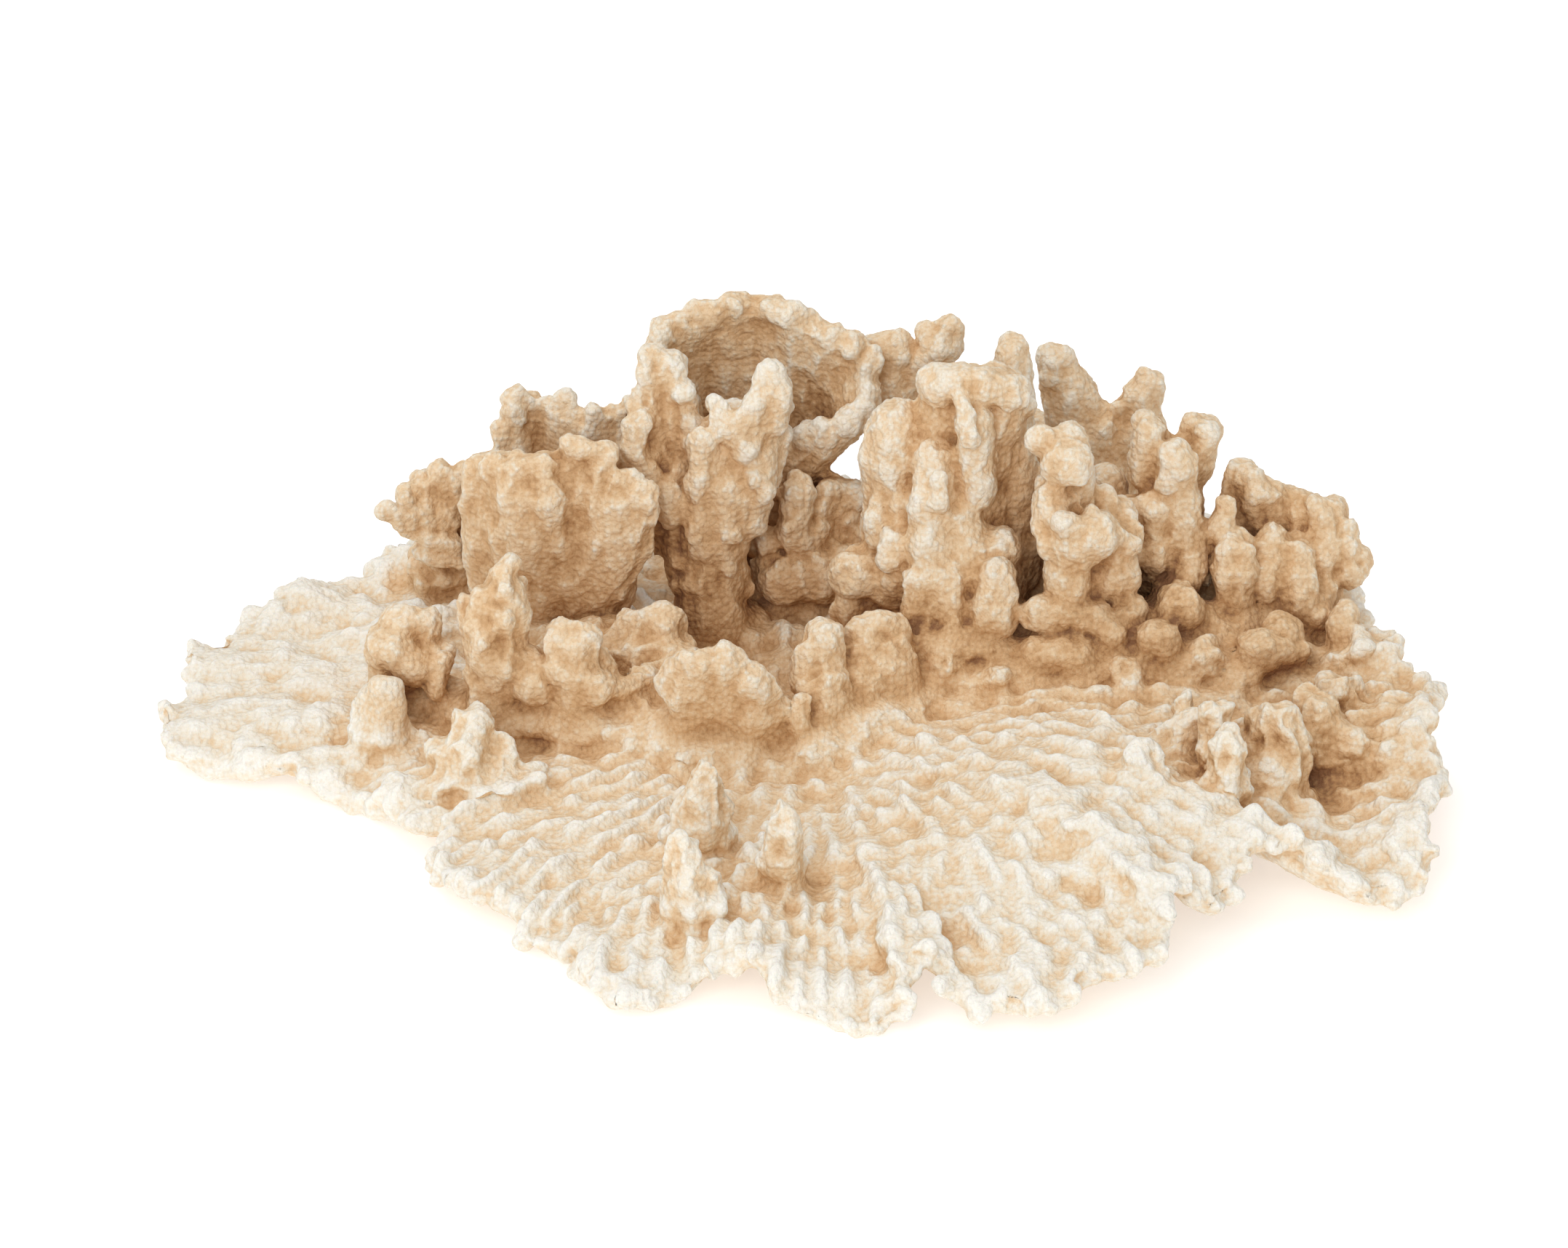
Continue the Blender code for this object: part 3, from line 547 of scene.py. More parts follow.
# Fingers, knobs and lumps too small for the solids: paths of (x, y, z, radius), by what they grow on.
KNOBS = {
    "tall_column": [
        [(26.6, 22, 70, 4), (31, 20, 71.3, 3.8)],
        [(34.7, 20, 71, 3.8), (39.7, 22, 69.5, 4.2)],
        [(41.5, 38, 70, 3), (42, 36, 62, 3.4)],
        [(18.6, 26, 60, 5)],
        [(14.9, 22, 43.3, 2.4), (14.8, 21, 37.9, 2.4)],
        [(26.8, 14, 54, 1.6), (26.8, 13, 49.6, 2.6)],
        [(23.4, 16, 50, 2.3), (23, 15, 47, 2.3)],
        [(24.5, 14, 40.5, 4)],
        [(23.8, 18, 52, 2.8), (29, 18, 48, 3)],
        [(20.5, 22, 46, 3.6), (20, 21, 40, 3.8), (19, 20, 35, 3.6)],
        [(17.9, 17, 39.7, 3), (17.5, 16, 36.9, 3)],
        [(38, 10, 35.4, 4), (37.3, 9, 27.7, 4.6)],
        [(28.3, 12, 33.7, 3.5), (29.1, 10, 26.4, 3.8)],
        [(23.1, 12, 32.9, 3.3), (22.4, 11, 26.7, 3.3)],
        [(25.4, 8, 21.5, 4.5), (32.2, 8, 22.3, 4.8)],
        [(34.6, 20, 37.6, 3.4)],
        [(33.2, 18, 64, 3.7), (34.3, 19, 49.5, 3.7)],
        [(30.9, 15, 68.9, 2.2), (32.4, 13, 62.5, 2.3)],
    ],
    "centre_fin": [
        [(1.6, -5, 26, 3), (1, -6, 21, 3.4)],
        [(0.9, -14, 20.5, 2), (-0.2, -16, 15.8, 2.3)],
        [(10.5, -1, 22, 2.8)],
        [(15.5, 0, 21.1, 3.4)],
        [(11, 3, 27, 3.2)],
        [(15.4, 4, 27.2, 3.4), (18.4, 6, 25.5, 3.6)],
    ],
    "knob_column": [
        [(50.8, 12, 58, 5)],
        [(46.4, 15, 62, 3.2)],
        [(48, 12, 51.3, 2.9), (47, 11, 45.2, 2.9)],
        [(53, 11, 42.4, 6.3)],
        [(50.5, 7.5, 47.5, 2.8), (54.9, 7.5, 46.5, 2.8)],
        [(59, 18, 47.9, 2.9), (58.6, 16, 43.9, 2.9)],
        [(61.5, 14, 41.5, 3.8), (62, 20, 45, 2.7)],
        [(45.8, 8, 28.6, 3.6), (56.3, 8, 27.7, 3.8)],
        [(60, 6, 24.5, 3.6), (63.2, 10, 27.6, 3.4)],
        [(45, 4, 21.3, 4), (53.2, 3, 21.8, 4)],
    ],
    "back_antler": [
        [(52, 60, 61, 3), (51, 60, 54.4, 3.2), (53.6, 60, 46.8, 3.5)],
        [(57.3, 60, 53.6, 2.6), (59.8, 60, 47.7, 3.3)],
        [(69.2, 62, 54.1, 2.9), (68.6, 62, 48.6, 2.9), (63.9, 62, 46.9, 3.4)],
    ],
    "right_column": [
        [(67.8, 30, 56.3, 3.1), (67, 30, 48.5, 3.4)],
        [(78.3, 32, 55.5, 2.9), (77.3, 32, 50.1, 2.9)],
        [(74.1, 26, 52, 4)],
        [(74.4, 26, 44.4, 4), (73.8, 24, 37, 4.4)],
        [(69.9, 26, 42.8, 3.7), (68.4, 22, 34.6, 4)],
        [(64.7, 27, 42.4, 2.8), (64.5, 21, 35.5, 3.4)],
        [(76.8, 24, 37, 3), (75.2, 20, 30.5, 3.3)],
        [(73.7, 10, 28.5, 4.5), (73, 20, 26, 5)],
        [(68.9, 4, 24.6, 4.6)],
    ],
    "right_fan": [
        [(82.9, 26, 44, 2.2), (82, 24, 37.9, 2.6)],
        [(84.6, 20, 35.5, 3.9), (84.4, 17, 26.9, 4)],
        [(92.2, 26, 36.2, 3.4), (91.2, 20, 28.9, 3.8)],
        [(100.8, 30, 41.5, 2.3)],
        [(102.2, 28, 38.6, 3.4), (103.1, 26, 32, 3.7)],
        [(96.7, 24, 33.7, 3.7), (97.2, 18, 26.4, 4)],
        [(102.4, 24, 27, 3.4), (100.4, 18, 23.1, 3.7)],
        [(93.2, 8, 24.4, 4)],
        [(88.3, 3, 22.6, 4.8), (95.9, 4, 21.8, 2.4)],
        [(105.8, 14, 25.8, 2.6), (104.8, 10, 21.8, 3.3)],
    ],
    "back_knob_column": [
        [(30, 62, 66, 3.6)],
        [(15, 62, 60, 4.6), (19, 62, 62, 4.2)],
    ],
    "centre_column": [
        [(-16.2, 36, 60, 2.6), (-13.8, 34, 56, 2.8), (-9.8, 34, 58.4, 2.8), (-6.7, 36, 62.9, 2.8),
         (-5.6, 38, 66, 3)],
        [(-5.6, 38, 66, 3), (-3.9, 36, 62.2, 2.8), (-4.5, 36, 57, 3)],
        [(-19, 33.5, 54, 3), (-19.4, 33, 44, 3), (-19.8, 32.5, 35.4, 3)],
        [(-31, 37, 56, 3), (-33, 36, 51, 3), (-30, 36, 46, 3.2), (-25, 35, 39, 3.6)],
    ],
    "cup_wall": [
        [(3, 47, 33, 3), (6, 48, 37, 3)],
    ],
    "front_left_spire": [
        [(-56.9, -2, 41, 2.6), (-57.4, -3, 36.3, 3.5)],
        [(-55.4, -4, 35, 3.1), (-56.4, -6, 24.7, 4.3)],
        [(-63.7, 2, 33.6, 2.3), (-62.1, 0, 29.7, 2.8), (-61, -2, 20, 3)],
    ],
    "front_left_crown": [
        [(-76.9, 6, 27, 4.2), (-72.1, 6, 27, 3.8)],
        [(-79.1, 2, 24.6, 4), (-74.3, 0, 20.9, 4)],
        [(-68.3, 0, 22, 2), (-69.6, -2, 16.6, 2.2)],
        [(-79.2, -8, 19.6, 4), (-78.6, -9, 15.6, 4)],
    ],
    "front_frill": [
        [(-45.2, -6, 30.2, 3.3), (-40.5, -6, 30.2, 3)],
        [(-45.2, -8, 24.7, 4), (-39, -9, 20.9, 3.8)],
        [(-51.6, -6, 24.7, 3.4), (-50.8, -8, 20.4, 3.8)],
    ],
    "left_scroll": [
        [(-83.6, 43.5, 34.6, 0.9), (-80, 44, 33.6, 1.8), (-74, 46, 33, 2.2), (-69, 46, 31, 2)],
        [(-78.6, 44, 30, 1.6), (-74, 44.5, 28.6, 2), (-69, 44.5, 27, 2)],
        [(-75.6, 45, 25, 1.6), (-72, 45, 24, 2), (-68, 44.5, 23, 2)],
    ],
    "left_fan": [
        [(-49.5, 26.5, 51, 3), (-49, 25.5, 44, 3.4), (-46, 26.5, 34, 3)],
        [(-59, 30, 50, 2.6), (-58, 29, 42, 3), (-54, 28.5, 32, 3)],
        [(-39, 27.5, 51, 2.6), (-38.5, 27, 44, 2.8), (-39.5, 28, 34, 2.8)],
        [(-63, 34, 48, 3.3), (-64, 34, 39, 3)],
        [(-44.6, 28, 54.6, 2.3), (-36.6, 28, 53.6, 2.5)],
    ],
    "plate": [
        [(78.5, 3, 21.5, 4.7)],
        [(85.2, 0, 18.3, 4)],
        [(28.6, 6, 20, 5.3), (36.1, 6, 20, 4.5)],
        [(38.2, 0, 18.3, 3.3)],
        [(62.7, 0, 19.8, 3.9)],
        [(108.6, 8, 24, 2.6), (107.2, 4, 21, 3.3)],
        [(76.3, -35, 28, 3.5), (76.8, -38, 21.5, 4.2)],
        [(86, -30, 23.5, 4.5), (85.5, -35, 16.8, 4.8)],
        [(95.4, -20, 23, 3.9), (95.3, -24, 18.5, 4)],
        [(94.1, -28, 18.5, 3)],
        [(62.3, -44, 24.5, 2.9), (62.3, -46, 19.2, 3.8)],
        [(71.2, -22, 24, 3.2)],
        [(-33.5, -8, 19.5, 3), (-26.7, 4, 19, 3)],
        [(-31.9, -10, 15.2, 3), (-24.2, -2, 16.6, 3)],
        [(-61.8, -22, 19, 4.4), (-61.8, -26, 14, 5.5)],
        [(-68, -23, 15.5, 3.4), (-65, -28, 12.5, 3.4)],
        [(-56, -23, 15, 3.4), (-55, -29, 11.5, 3.2)],
        [(-71, -29, 9.5, 3), (-60, -31, 10, 3.2)],
        [(-75.5, -30, 8.6, 3.9), (-72.2, -33, 7.6, 3.1)],
        [(-79.2, -8, 19.6, 4), (-78.6, -9, 13, 4.4)],
    ],
}


def join(pieces, name):
    shape = bmesh.new()
    for piece in pieces:
        shape.from_mesh(piece)
    mesh = bpy.data.meshes.new(name)
    shape.to_mesh(mesh)
    shape.free()
    return mesh


def grow(pieces):
    """One skin over all the overlapping pieces, softened and made lumpy, as a mesh in metres."""
    solid = object_from(join(pieces, "coral"), "coral")
    solid.data.transform(Matrix.Scale(MM, 4))
    skin = solid.modifiers.new("skin", "REMESH")
    skin.mode = "VOXEL"
    skin.voxel_size = GRAIN * MM
    soften = solid.modifiers.new("soften", "SMOOTH")
    soften.factor = 0.5
    soften.iterations = round(1.2 / GRAIN**2)
    swell = solid.modifiers.new("lumps", "DISPLACE")
    swell.texture = bpy.data.textures.new("lumps", "CLOUDS")
    swell.texture.noise_scale = LUMP_SIZE * MM
    swell.texture.noise_depth = 1
    swell.texture_coords = "GLOBAL"
    swell.strength = LUMP_HEIGHT * MM
    swell.mid_level = 0.45
    return evaluated(solid)


def raw_points(mesh):
    flat = np.empty(len(mesh.vertices) * 3)
    mesh.vertices.foreach_get("co", flat)
    return flat.reshape(-1, 3)


def triangles_of(mesh):
    mesh.calc_loop_triangles()
    flat = np.empty(len(mesh.loop_triangles) * 3, np.int32)
    mesh.loop_triangles.foreach_get("vertices", flat)
    return flat.reshape(-1, 3)


def normals_of(mesh):
    flat = np.empty(len(mesh.vertices) * 3)
    mesh.vertex_normals.foreach_get("vector", flat)
    return flat.reshape(-1, 3)


def put_points(mesh, points):
    mesh.vertices.foreach_set("co", (points * MM).ravel())
    mesh.update()


def clouds(points, size, seed=0.0):
    """Smooth noise from about -1 to 1, with features of that size, or of that size along each axis."""
    scaled = points / np.array(size) + seed
    return np.array([noise.noise(p) for p in scaled.tolist()])


def cells(points, size, seed=0.0):
    """0 in the middle of a cell and about 1 at its border, for a scatter of cells of that size."""
    scaled = points / np.array(size) + seed
    return np.array([noise.voronoi(p)[0][0] for p in scaled.tolist()])


def smoothstep(values, low, high):
    t = np.clip((values - low) / (high - low), 0, 1)
    return t * t * (3 - 2 * t)


def flutes(points, root, spacing, seed):
    """Ridges that run out from a root and branch to keep their spacing: 0 in a valley, 1 on a crest."""
    away = points - root
    reach = np.linalg.norm(away, axis=1)
    towards = away / reach[:, None]
    level = np.log2(reach / spacing)
    low = np.floor(level)
    blend = smoothstep(level - low, 0.3, 0.7)
    crests = []
    for step in (0, 1):
        scaled = towards * (2 ** (low + step))[:, None] + seed + 17.3 * (low + step)[:, None]
        crests.append(1 - np.abs(np.array([noise.noise(p) for p in scaled.tolist()])) * 3.2)
    return np.clip(crests[0] * (1 - blend) + crests[1] * blend, 0, 1)


def wrinkles(points):
    """Upright folds that branch and join, from 0 in a valley to 1 on a crest."""
    return np.clip(1 - 2.5 * np.abs(clouds(points, (5, 5, 11), 51)), 0, 1)


class Neighbours:
    """The edges of a mesh, to average values between neighbouring points."""

    def __init__(self, mesh):
        ends = np.empty(len(mesh.edges) * 2, np.int32)
        mesh.edges.foreach_get("vertices", ends)
        self.a, self.b = ends.reshape(-1, 2).T
        self.count = len(mesh.vertices)
        self.degree = self.gathered(None, None)

    def gathered(self, at_a, at_b):
        """The sum at each point of what its edges bring, or how many edges it has."""
        return np.bincount(self.a, at_b, self.count) + np.bincount(self.b, at_a, self.count)

    def average(self, values, times):
        for _ in range(times):
            values = self.gathered(values[self.a], values[self.b]) / self.degree
        return values


def hollowness(near, points, normals, times):
    """How far each point lies under its surroundings: above 0 in a hollow, below 0 on a crest."""
    averaged = np.array([near.average(points[:, k], times) for k in range(3)]).T
    return ((averaged - points) * normals).sum(axis=1)


class Surroundings:
    """How crowded the space is round a point, from all the points of the skin; it paints shade where the skin
    is enclosed.
    """

    CELL = 2.0
    LOW = np.array([-140.0, -125.0, -20.0])
    SIZE = (140, 125, 60)

    def __init__(self, points):
        self.density = np.zeros(self.SIZE)
        x, y, z = self.cell_of(points)
        self.density[x, y, z] = 1
        for axis in (0, 1, 2, 0, 1, 2):
            self.density = self.box_average(self.density, 7, axis)

    def cell_of(self, points):
        places = np.floor((points - self.LOW) / self.CELL).astype(int)
        return np.clip(places, 0, np.array(self.SIZE) - 1).T

    @staticmethod
    def box_average(values, width, axis):
        padding = [(0, 0)] * 3
        padding[axis] = (width // 2 + 1, width // 2)
        total = np.cumsum(np.pad(values, padding), axis=axis)
        ends = np.take(total, range(width, total.shape[axis]), axis=axis)
        starts = np.take(total, range(total.shape[axis] - width), axis=axis)
        return (ends - starts) / width

    def occlusion_shade(self, points, normals):
        x, y, z = self.cell_of(points + normals * 6)
        return self.density[x, y, z]


def radial_ridges(points):
    """Ridges that run out from the middle of the plate and branch, from 0 in a valley to 1 on a crest."""
    x = points[:, 0] + 4 * clouds(points, 30, 40) + 1.2 * clouds(points, 9, 44)
    y = points[:, 1] + 4 * clouds(points, 30, 60) + 1.2 * clouds(points, 9, 64)
    angle = np.arctan2(y, x)
    level = np.log2(np.maximum(2 * math.pi * np.hypot(x, y) / (FIRST_RIDGES * RIDGE_SPACING), 1))
    low = np.floor(level)
    blend = smoothstep(level - low, 0.25, 0.75)
    count = FIRST_RIDGES * 2**low
    wave = np.cos(count * angle) * (1 - blend) + np.cos(2 * count * angle) * blend
    return np.clip(0.5 + 0.5 * wave, 0, 1)


def above_plate(points):
    """How far each point is above the plate's smooth upper face, in millimetres."""
    rim = curve_through(PLATE_RIM, 720, closed=True)
    rim = rim[np.argsort(np.arctan2(rim[:, 1], rim[:, 0]))]
    rim_angle = np.arctan2(rim[:, 1], rim[:, 0])
    angle = np.arctan2(points[:, 1], points[:, 0])
    rim_reach = np.interp(angle, rim_angle, np.hypot(rim[:, 0], rim[:, 1]), period=2 * math.pi)
    rim_height = np.interp(angle, rim_angle, rim[:, 2], period=2 * math.pi)
    share = np.clip(np.hypot(points[:, 0], points[:, 1]) / rim_reach, 0, 1)
    height = PLATE_LEVEL + (rim_height - PLATE_LEVEL) * share**RIM_REACH
    for x, y, swell, spread in PLATE_SWELLS:
        height += swell * np.exp(-((points[:, 0] - x) ** 2 + (points[:, 1] - y) ** 2) / (2 * spread**2))
    return points[:, 2] - height - PLATE_THICK / 2


def plate_relief(points, normals):
    """Ridges and beads of the plate: how far each point moves out, and how much of a crest it is."""
    reach = np.hypot(points[:, 0], points[:, 1])
    from_middle, outer = smoothstep(reach, 12, 45), smoothstep(reach, 60, 100)
    left, right = smoothstep(-points[:, 0], 70, 90), smoothstep(points[:, 0], 0, 50)
    raised = smoothstep(above_plate(points), 3, 6)
    upper = smoothstep(normals[:, 2], -0.6, 0.2)
    strength = (0.35 + 0.65 * upper) * smoothstep(points[:, 2], 0.5, 3)

    crest, folded = radial_ridges(points), wrinkles(points)
    beads = clouds(points, 4.2, 9)
    lumpy = clouds(points, (8, 8, 20), 29) + 0.5 * clouds(points, 16, 31)
    grains = 1 - cells(points, 1.7, 5)
    ridges = (1 - raised) * (0.4 + 0.6 * from_middle) * (1 - 0.7 * left)
    out = (1.5 - 0.5 * right) * ridges * crest * np.clip(0.55 + 1.4 * beads, 0.05, 1.6)
    out += (0.7 + 0.3 * right + 0.2 * outer) * beads + lumpy * (0.5 + 0.7 * left + 0.4 * outer) + 0.5 * grains
    out += 1.2 * raised * (folded - 0.5) - 0.9
    return strength * out, 0.5 + 0.7 * (crest - 0.5) * ridges + 0.6 * beads + 0.7 * raised * (folded - 0.5)


def upright_relief(points, root):
    """Flutes, knobs and grains of uprights, each of which grows from its own root."""
    wander = np.array([clouds(points, 14, 40), clouds(points, 14, 60), clouds(points, 14, 80)]).T * 2
    crest = flutes(points + wander, root, 3.4, 1.7)
    beads = clouds(points, 4.6, 19)
    grains = 1 - cells(points, 1.8, 5)
    folded = wrinkles(points)
    out = 0.4 * crest * (0.8 + 0.6 * beads) + 0.35 * beads + 0.5 * (folded - 0.5) + 0.55 * grains - 0.45
    return out, 0.5 + 0.4 * (crest - 0.5) + 0.5 * beads + 0.5 * (folded - 0.5)


# Stained and bleached places, with painted shade and painted light among them: x, y, z, spread along each of
# them, and how much lighter.
STAINS_AND_PAINTED_SHADING = [
    # Darker under the right columns, at the feet of the uprights and in the middle hollow: partly stain,
    # partly painted shade.
    (62, 9, 20, 30, 9, 10, -0.30),
    (-2, 20, 10, 18, 16, 14, -0.20),
    (-26, 32, 18, 6, 9, 12, -0.25),
    (30, 30, 24, 30, 12, 8, -0.10),
    (-40, 8, 14, 24, 14, 9, -0.14),
    (-14, -12, 8, 14, 9, 8, -0.12),
    (62, -8, 16, 26, 9, 7, -0.14),
    (88, -26, 12, 16, 12, 12, -0.22),
    (104, -14, 18, 14, 18, 8, -0.20),
    # Painted light: lightens the shell's inner face, which its own rim shades.
    (-10, 47, 58, 22, 9, 8, 0.24),
    (24, 12, 48, 24, 20, 22, 0.12),
    (46, 34, 54, 12, 12, 14, 0.08),
]
PLATE_TONE = 0.73
UPRIGHT_TONE = 0.49


def tones(near, points, normals, crest, own, occlusion_shade):
    """How light the surface is at each point, from 0 in a crevice, darkened by stain and painted shade, to 1
    on a bleached crest.
    """
    fine = hollowness(near, points, normals, round(5 / GRAIN**2))
    broad = hollowness(near, points, normals, round(30 / GRAIN**2))
    on_plate = own < 0
    raised = np.where(on_plate, smoothstep(above_plate(points), 4, 8), 0)
    # Painted shade: plate faces that turn downwards are darker.
    painted_underside_shade = np.where(on_plate, smoothstep(-normals[:, 2], -0.45, 0.1), 0)
    # Lighter on crests and darker in fine and broad hollows: partly the skeleton's own bleaching and stain,
    # partly painted shade in the hollows.
    tone = np.where(on_plate, PLATE_TONE, UPRIGHT_TONE) + 0.10 * (crest - 0.5)
    tone -= np.where(on_plate, 0.10, 0.16) * np.clip(fine, -0.8, 1) + 0.09 * np.clip(broad, -1, 2)
    # Painted shade: darker where other parts crowd round the skin, as ambient occlusion would make it; nubs
    # raised on the plate are darker too.
    tone -= 0.32 * smoothstep(occlusion_shade, 0.22, 0.5) + 0.11 * raised + 0.15 * painted_underside_shade
    tone += 0.07 * clouds(points, 16, 30) + 0.05 * clouds(points, 5, 33)
    outwards = smoothstep(np.hypot(points[:, 0], points[:, 1] + 10), 45, 95)
    tone += np.where(on_plate, 0.10 * outwards - 0.02, 0)
    for x, y, z, spread_x, spread_y, spread_z, lighter in STAINS_AND_PAINTED_SHADING:
        away = (points - (x, y, z)) / (spread_x, spread_y, spread_z)
        tone += lighter * np.exp(-(away**2).sum(axis=1) / 2)
    return tone


# Colours from a dark crevice, partly stained and partly painted shade, to a bleached crest.
CORAL_RAMP = [
    (0.05, (0.27, 0.13, 0.06)),
    (0.22, (0.50, 0.28, 0.125)),
    (0.42, (0.69, 0.45, 0.245)),
    (0.60, (0.80, 0.605, 0.395)),
    (0.76, (0.85, 0.765, 0.63)),
    (0.95, (0.91, 0.88, 0.81)),
]

# Repeats per metre of the textures, and how far each lightens or darkens the tone.
BLOTCH_SCALE, BLOTCH_TONE = 190, 0.10
SPECK_SCALE, SPECK_TONE = 1300, 0.40
PORE_SCALE, PORE_TONE = 820, 0.20
BUMP_DEPTH = 0.0008


def socket(node, name):
    return node.inputs[name]


def coral_material():
    """Dry skeleton: its tone comes from the mesh, its pores and grains from textures."""
    material = bpy.data.materials.new("coral")
    material.use_nodes = True
    tree = material.node_tree
    surface = tree.nodes["Principled BSDF"]
    add, link = tree.nodes.new, tree.links.new

    place = add("ShaderNodeTexCoord").outputs["Object"]
    tone = add("ShaderNodeAttribute")
    tone.attribute_name = "tone"

    def texture(kind, scale, **settings):
        node = add(kind)
        link(place, socket(node, "Vector"))
        for key, value in {"Scale": scale, **settings}.items():
            socket(node, key).default_value = value
        return node

    def maths(operation, a, b, c=None):
        node = add("ShaderNodeMath")
        node.operation = operation
        for entry, value in zip(node.inputs, (a, b, c)):
            if value is None:
                continue
            if isinstance(value, (int, float)):
                entry.default_value = value
            else:
                link(value, entry)
        return node.outputs[0]

    blotches = texture("ShaderNodeTexNoise", BLOTCH_SCALE, Detail=5, Roughness=0.6).outputs["Fac"]
    specks = texture("ShaderNodeTexNoise", SPECK_SCALE, Detail=3, Roughness=0.7).outputs["Fac"]
    pores = texture("ShaderNodeTexVoronoi", PORE_SCALE, Randomness=0.75).outputs["Distance"]
    light = maths("MULTIPLY_ADD", maths("SUBTRACT", blotches, 0.5), BLOTCH_TONE, tone.outputs["Fac"])
    light = maths("MULTIPLY_ADD", maths("SUBTRACT", specks, 0.5), SPECK_TONE, light)
    light = maths("MULTIPLY_ADD", maths("SUBTRACT", 0.45, pores), PORE_TONE, light)

    colours = add("ShaderNodeValToRGB")
    while len(colours.color_ramp.elements) > 1:
        colours.color_ramp.elements.remove(colours.color_ramp.elements[-1])
    for k, (position, colour) in enumerate(CORAL_RAMP):
        stop = colours.color_ramp.elements[0] if k == 0 else colours.color_ramp.elements.new(position)
        stop.position = position
        stop.color = (*colour, 1)
    link(light, socket(colours, "Fac"))
    link(colours.outputs["Color"], socket(surface, "Base Color"))

    relief = maths("MULTIPLY_ADD", pores, -1.0, maths("MULTIPLY", specks, 0.8))
    relief = maths("MULTIPLY_ADD", blotches, 0.8, relief)
    bump = add("ShaderNodeBump")
    socket(bump, "Strength").default_value = 0.7
    socket(bump, "Distance").default_value = BUMP_DEPTH
    link(relief, socket(bump, "Height"))
    link(bump.outputs["Normal"], socket(surface, "Normal"))

    socket(surface, "Roughness").default_value = 0.82
    socket(surface, "Specular IOR Level").default_value = 0.3
    socket(surface, "Subsurface Weight").default_value = 0.12
    socket(surface, "Subsurface Radius").default_value = (1.0, 0.75, 0.5)
    socket(surface, "Subsurface Scale").default_value = 0.0015
    return material


def tree_of(points):
    tree = kdtree.KDTree(len(points))
    for index, place in enumerate(points.tolist()):
        tree.insert(place, index)
    tree.balance()
    return tree


class Owners:
    """Which upright, if any, is nearest to a point."""

    def __init__(self, plate_parts, upright_parts):
        owned = [(-1, part) for part in plate_parts]
        for index, parts in enumerate(upright_parts):
            owned += [(index, part) for part in parts]
        points = [raw_points(part)[::2] for _, part in owned]
        self.owner = np.concatenate([np.full(len(p), index) for p, (index, _) in zip(points, owned)])
        self.tree = tree_of(np.vstack(points))

    def of(self, points):
        return self.owner[[self.tree.find(place)[1] for place in points.tolist()]]


def make_coral():
    uprights = build_uprights()
    forks = np.array([fork for _, fork, _, _ in uprights] + [0])
    roots = [lumps(root) for _, _, root, _ in uprights]
    middles = np.array([np.mean(root, axis=0)[:3] - (0, 0, 6) for _, _, root, _ in uprights] + [(0, 0, 0)])
    growth = [parts + [lumps(path) for path in KNOBS.get(name, [])] for name, _, _, parts in uprights]
    plate_parts = [plate_sheet(), foot(), *plate_nubs(), *[lumps(path) for path in KNOBS["plate"]]]
    skin = grow([*plate_parts, *roots, *[part for parts in growth for part in parts]])

    points, normals = raw_points(skin) / MM, normals_of(skin)
    own = Owners(plate_parts, growth).of(points)
    near = Neighbours(skin)
    share = near.average((own >= 0).astype(float), round(6 / GRAIN**2))
    out, crest = np.zeros(len(points)), np.zeros(len(points))
    low, high = own < 0, own >= 0
    out[low], crest[low] = plate_relief(points[low], normals[low])
    out[high], crest[high] = upright_relief(points[high], middles[own[high]])
    border = (share > 0.03) & (share < 0.97)
    softer = near.average(out, round(3 / GRAIN**2))
    out[border] = softer[border]
    points = points + normals * out[:, None]
    points[:, 2] -= PRESSED * np.maximum(points[:, 2] - TALLEST, 0)
    points[:, 2] = np.maximum(points[:, 2], 0)
    put_points(skin, points)

    normals = normals_of(skin)
    # How enclosed each point is, which paints shade into its tone.
    occlusion_shade = Surroundings(points).occlusion_shade(points, normals)
    tone = tones(near, points, normals, crest, own, occlusion_shade)
    softer = near.average(tone, round(3 / GRAIN**2))
    tone[border] = softer[border]

    faces = triangles_of(skin)
    middle = points[faces].mean(axis=1)
    owner = own[faces[:, 0]]
    owner[middle[:, 2] < forks[owner]] = -1
    parts = [(name + "_coral", name, faces[owner == index]) for index, (name, *_) in enumerate(uprights)]
    under = (owner < 0) & (normals[faces[:, 0], 2] < UNDERSIDE_SLOPE)
    parts.append(("plate_underside", "plate", thinned(faces[under], points, UNDERSIDE_SHARE)))
    above = (owner < 0) & ~under
    back, left, right = middle[:, 1] > BACK_FROM_Y, middle[:, 0] < LEFT_TO_X, middle[:, 0] >= RIGHT_FROM_X
    parts.append(("plate_back", "plate", faces[above & back]))
    parts.append(("plate_left", "plate", faces[above & ~back & left]))
    parts.append(("plate_front", "plate", faces[above & ~back & ~left & ~right]))
    parts.append(("plate_right", "plate", faces[above & ~back & right]))
    material = coral_material()
    for name, node, chosen in parts:
        add_piece(name, node, chosen, points, normals, tone, material)


def thinned(faces, points, share):
    """About that share of the triangles, for what hardly shows. Their corners are still given points."""
    used, corners = np.unique(faces, return_inverse=True)
    bare = object_from(mesh_from(points[used], corners.reshape(-1, 3), "thinned"), "thinned")
    bare.modifiers.new("fewer", "DECIMATE").ratio = share
    mesh = evaluated(bare)
    tree = tree_of(points[used])
    nearest = used[[tree.find(place)[1] for place in raw_points(mesh).tolist()]]
    fewer = nearest[triangles_of(mesh)]
    real = (fewer[:, 0] != fewer[:, 1]) & (fewer[:, 1] != fewer[:, 2]) & (fewer[:, 2] != fewer[:, 0])
    return fewer[real]


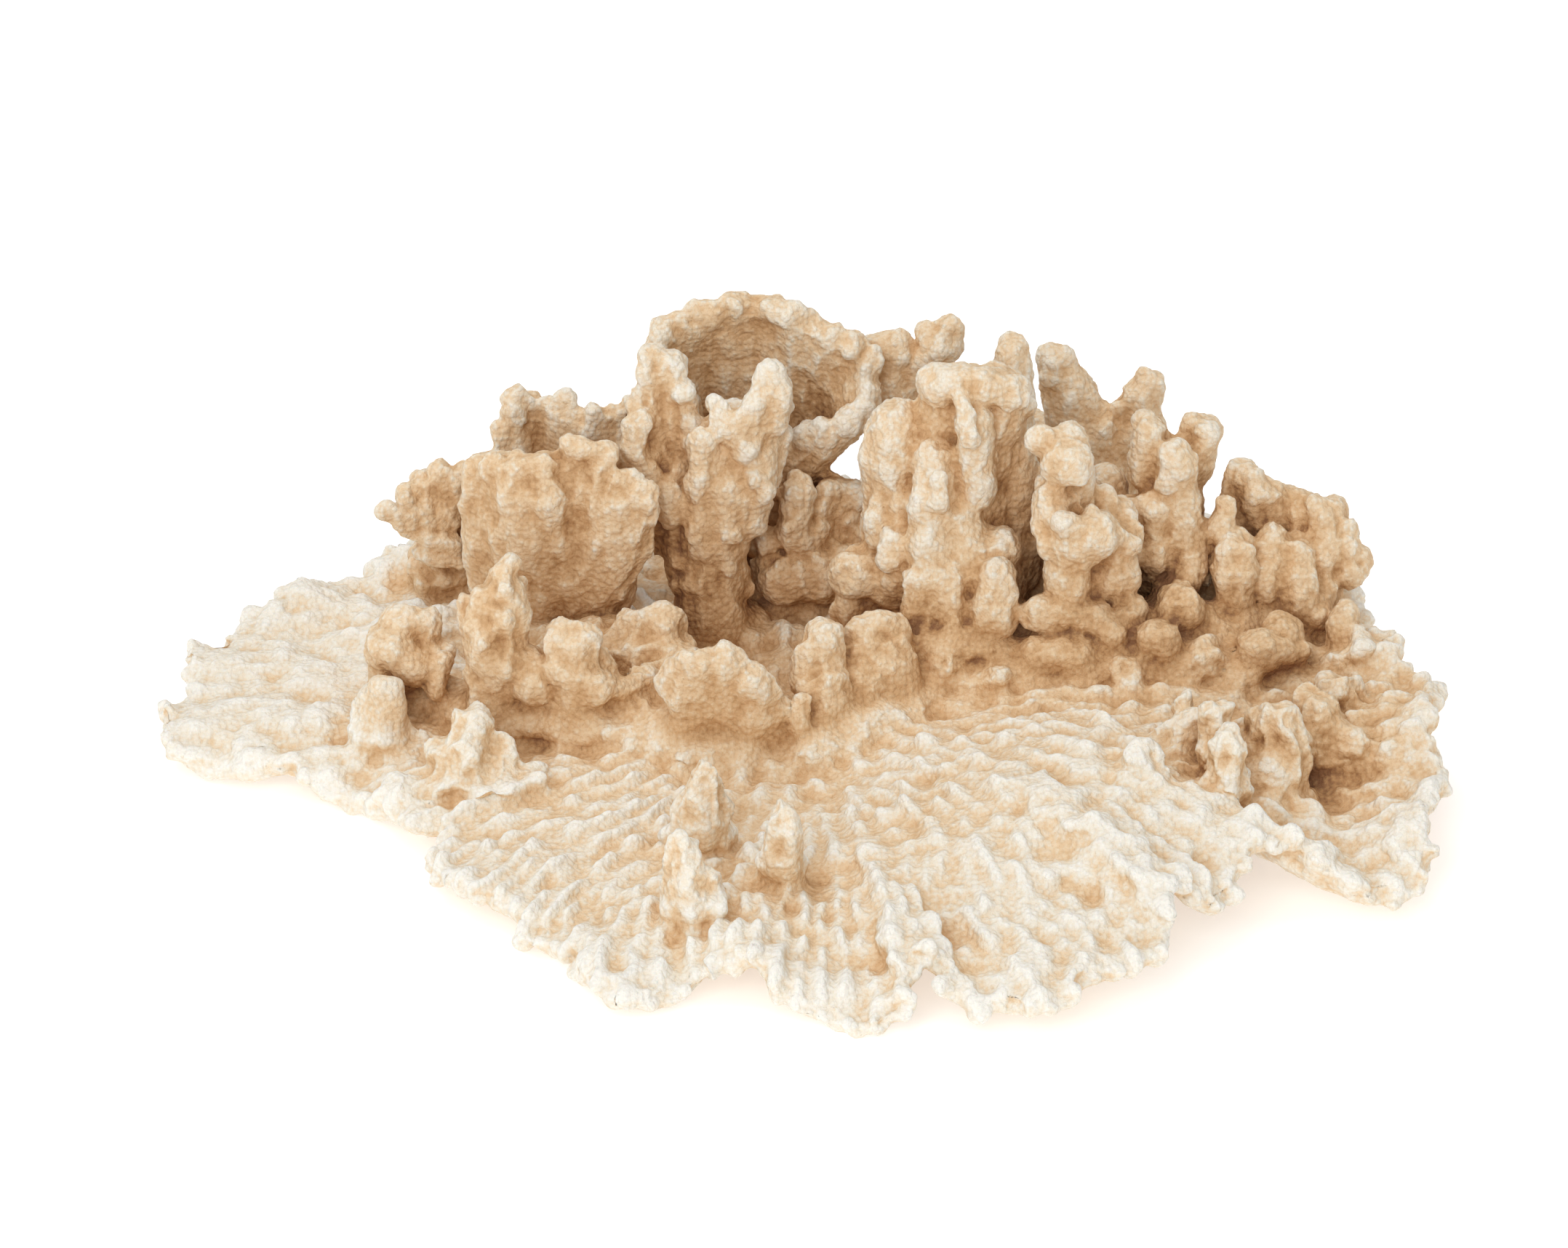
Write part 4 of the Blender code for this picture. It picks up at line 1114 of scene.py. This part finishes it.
def add_piece(name, node, faces, points, normals, tone, material):
    """A piece of the skin, which stands for a node. It keeps the skin's normals, so that no seam shows."""
    used, faces = np.unique(faces, return_inverse=True)
    mesh = mesh_from(points[used] * MM, faces.reshape(-1, 3), name)
    mesh.attributes.new("tone", "FLOAT", "POINT").data.foreach_set("value", tone[used].astype(np.float32))
    mesh.shade_smooth()
    mesh.normals_split_custom_set_from_vertices(normals[used].tolist())
    mesh.materials.append(material)
    piece = object_from(mesh, name)
    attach(piece, "root")
    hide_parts(node)


CAMERA_RISE = math.radians(25)
CAMERA_AWAY = 830
CAMERA_AIM = Vector((-3, 0, 30))
CAMERA_LENS = 100


def make_camera():
    camera = bpy.data.objects.new("camera", bpy.data.cameras.new("camera"))
    bpy.context.scene.collection.objects.link(camera)
    back = Vector((0, -math.cos(CAMERA_RISE), math.sin(CAMERA_RISE)))
    camera.location = (CAMERA_AIM + back * CAMERA_AWAY) * MM
    camera.rotation_euler = (math.radians(90) - CAMERA_RISE, 0, 0)
    camera.data.lens = CAMERA_LENS
    camera.data.sensor_width = 36
    bpy.context.scene.camera = camera


FLOOR_GLOW = 0.38
FLOOR_REACH = 4


def make_floor():
    shape = bmesh.new()
    bmesh.ops.create_grid(shape, x_segments=1, y_segments=1, size=FLOOR_REACH)
    mesh = bpy.data.meshes.new("floor")
    shape.to_mesh(mesh)
    shape.free()
    floor = object_from(mesh, "floor")
    material = bpy.data.materials.new("floor")
    material.use_nodes = True
    surface = material.node_tree.nodes["Principled BSDF"]
    surface.inputs["Base Color"].default_value = (0.93, 0.93, 0.93, 1)
    surface.inputs["Roughness"].default_value = 0.9
    surface.inputs["Specular IOR Level"].default_value = 0.2
    surface.inputs["Emission Color"].default_value = (1, 1, 1, 1)
    surface.inputs["Emission Strength"].default_value = FLOOR_GLOW
    mesh.materials.append(material)


def area_light(name, place, aim, size, power):
    lamp = bpy.data.objects.new(name, bpy.data.lights.new(name, "AREA"))
    bpy.context.scene.collection.objects.link(lamp)
    lamp.data.size = size
    lamp.data.energy = power
    lamp.location = place
    lamp.rotation_euler = (Vector(aim) - Vector(place)).to_track_quat("-Z", "Y").to_euler()


def make_light():
    world = bpy.data.worlds.new("studio")
    bpy.context.scene.world = world
    world.use_nodes = True
    background = world.node_tree.nodes["Background"]
    background.inputs["Color"].default_value = (1, 0.99, 0.97, 1)
    background.inputs["Strength"].default_value = 0.62
    area_light("top", (-0.25, 0.1, 1.1), (0, 0, 0), 0.7, 3.5)
    area_light("front", (-0.3, -1.2, 0.7), (0, 0, 0.02), 0.9, 7)
    bpy.context.scene.view_settings.view_transform = "Standard"


def main():
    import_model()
    make_camera()
    make_coral()
    make_floor()
    make_light()


main()
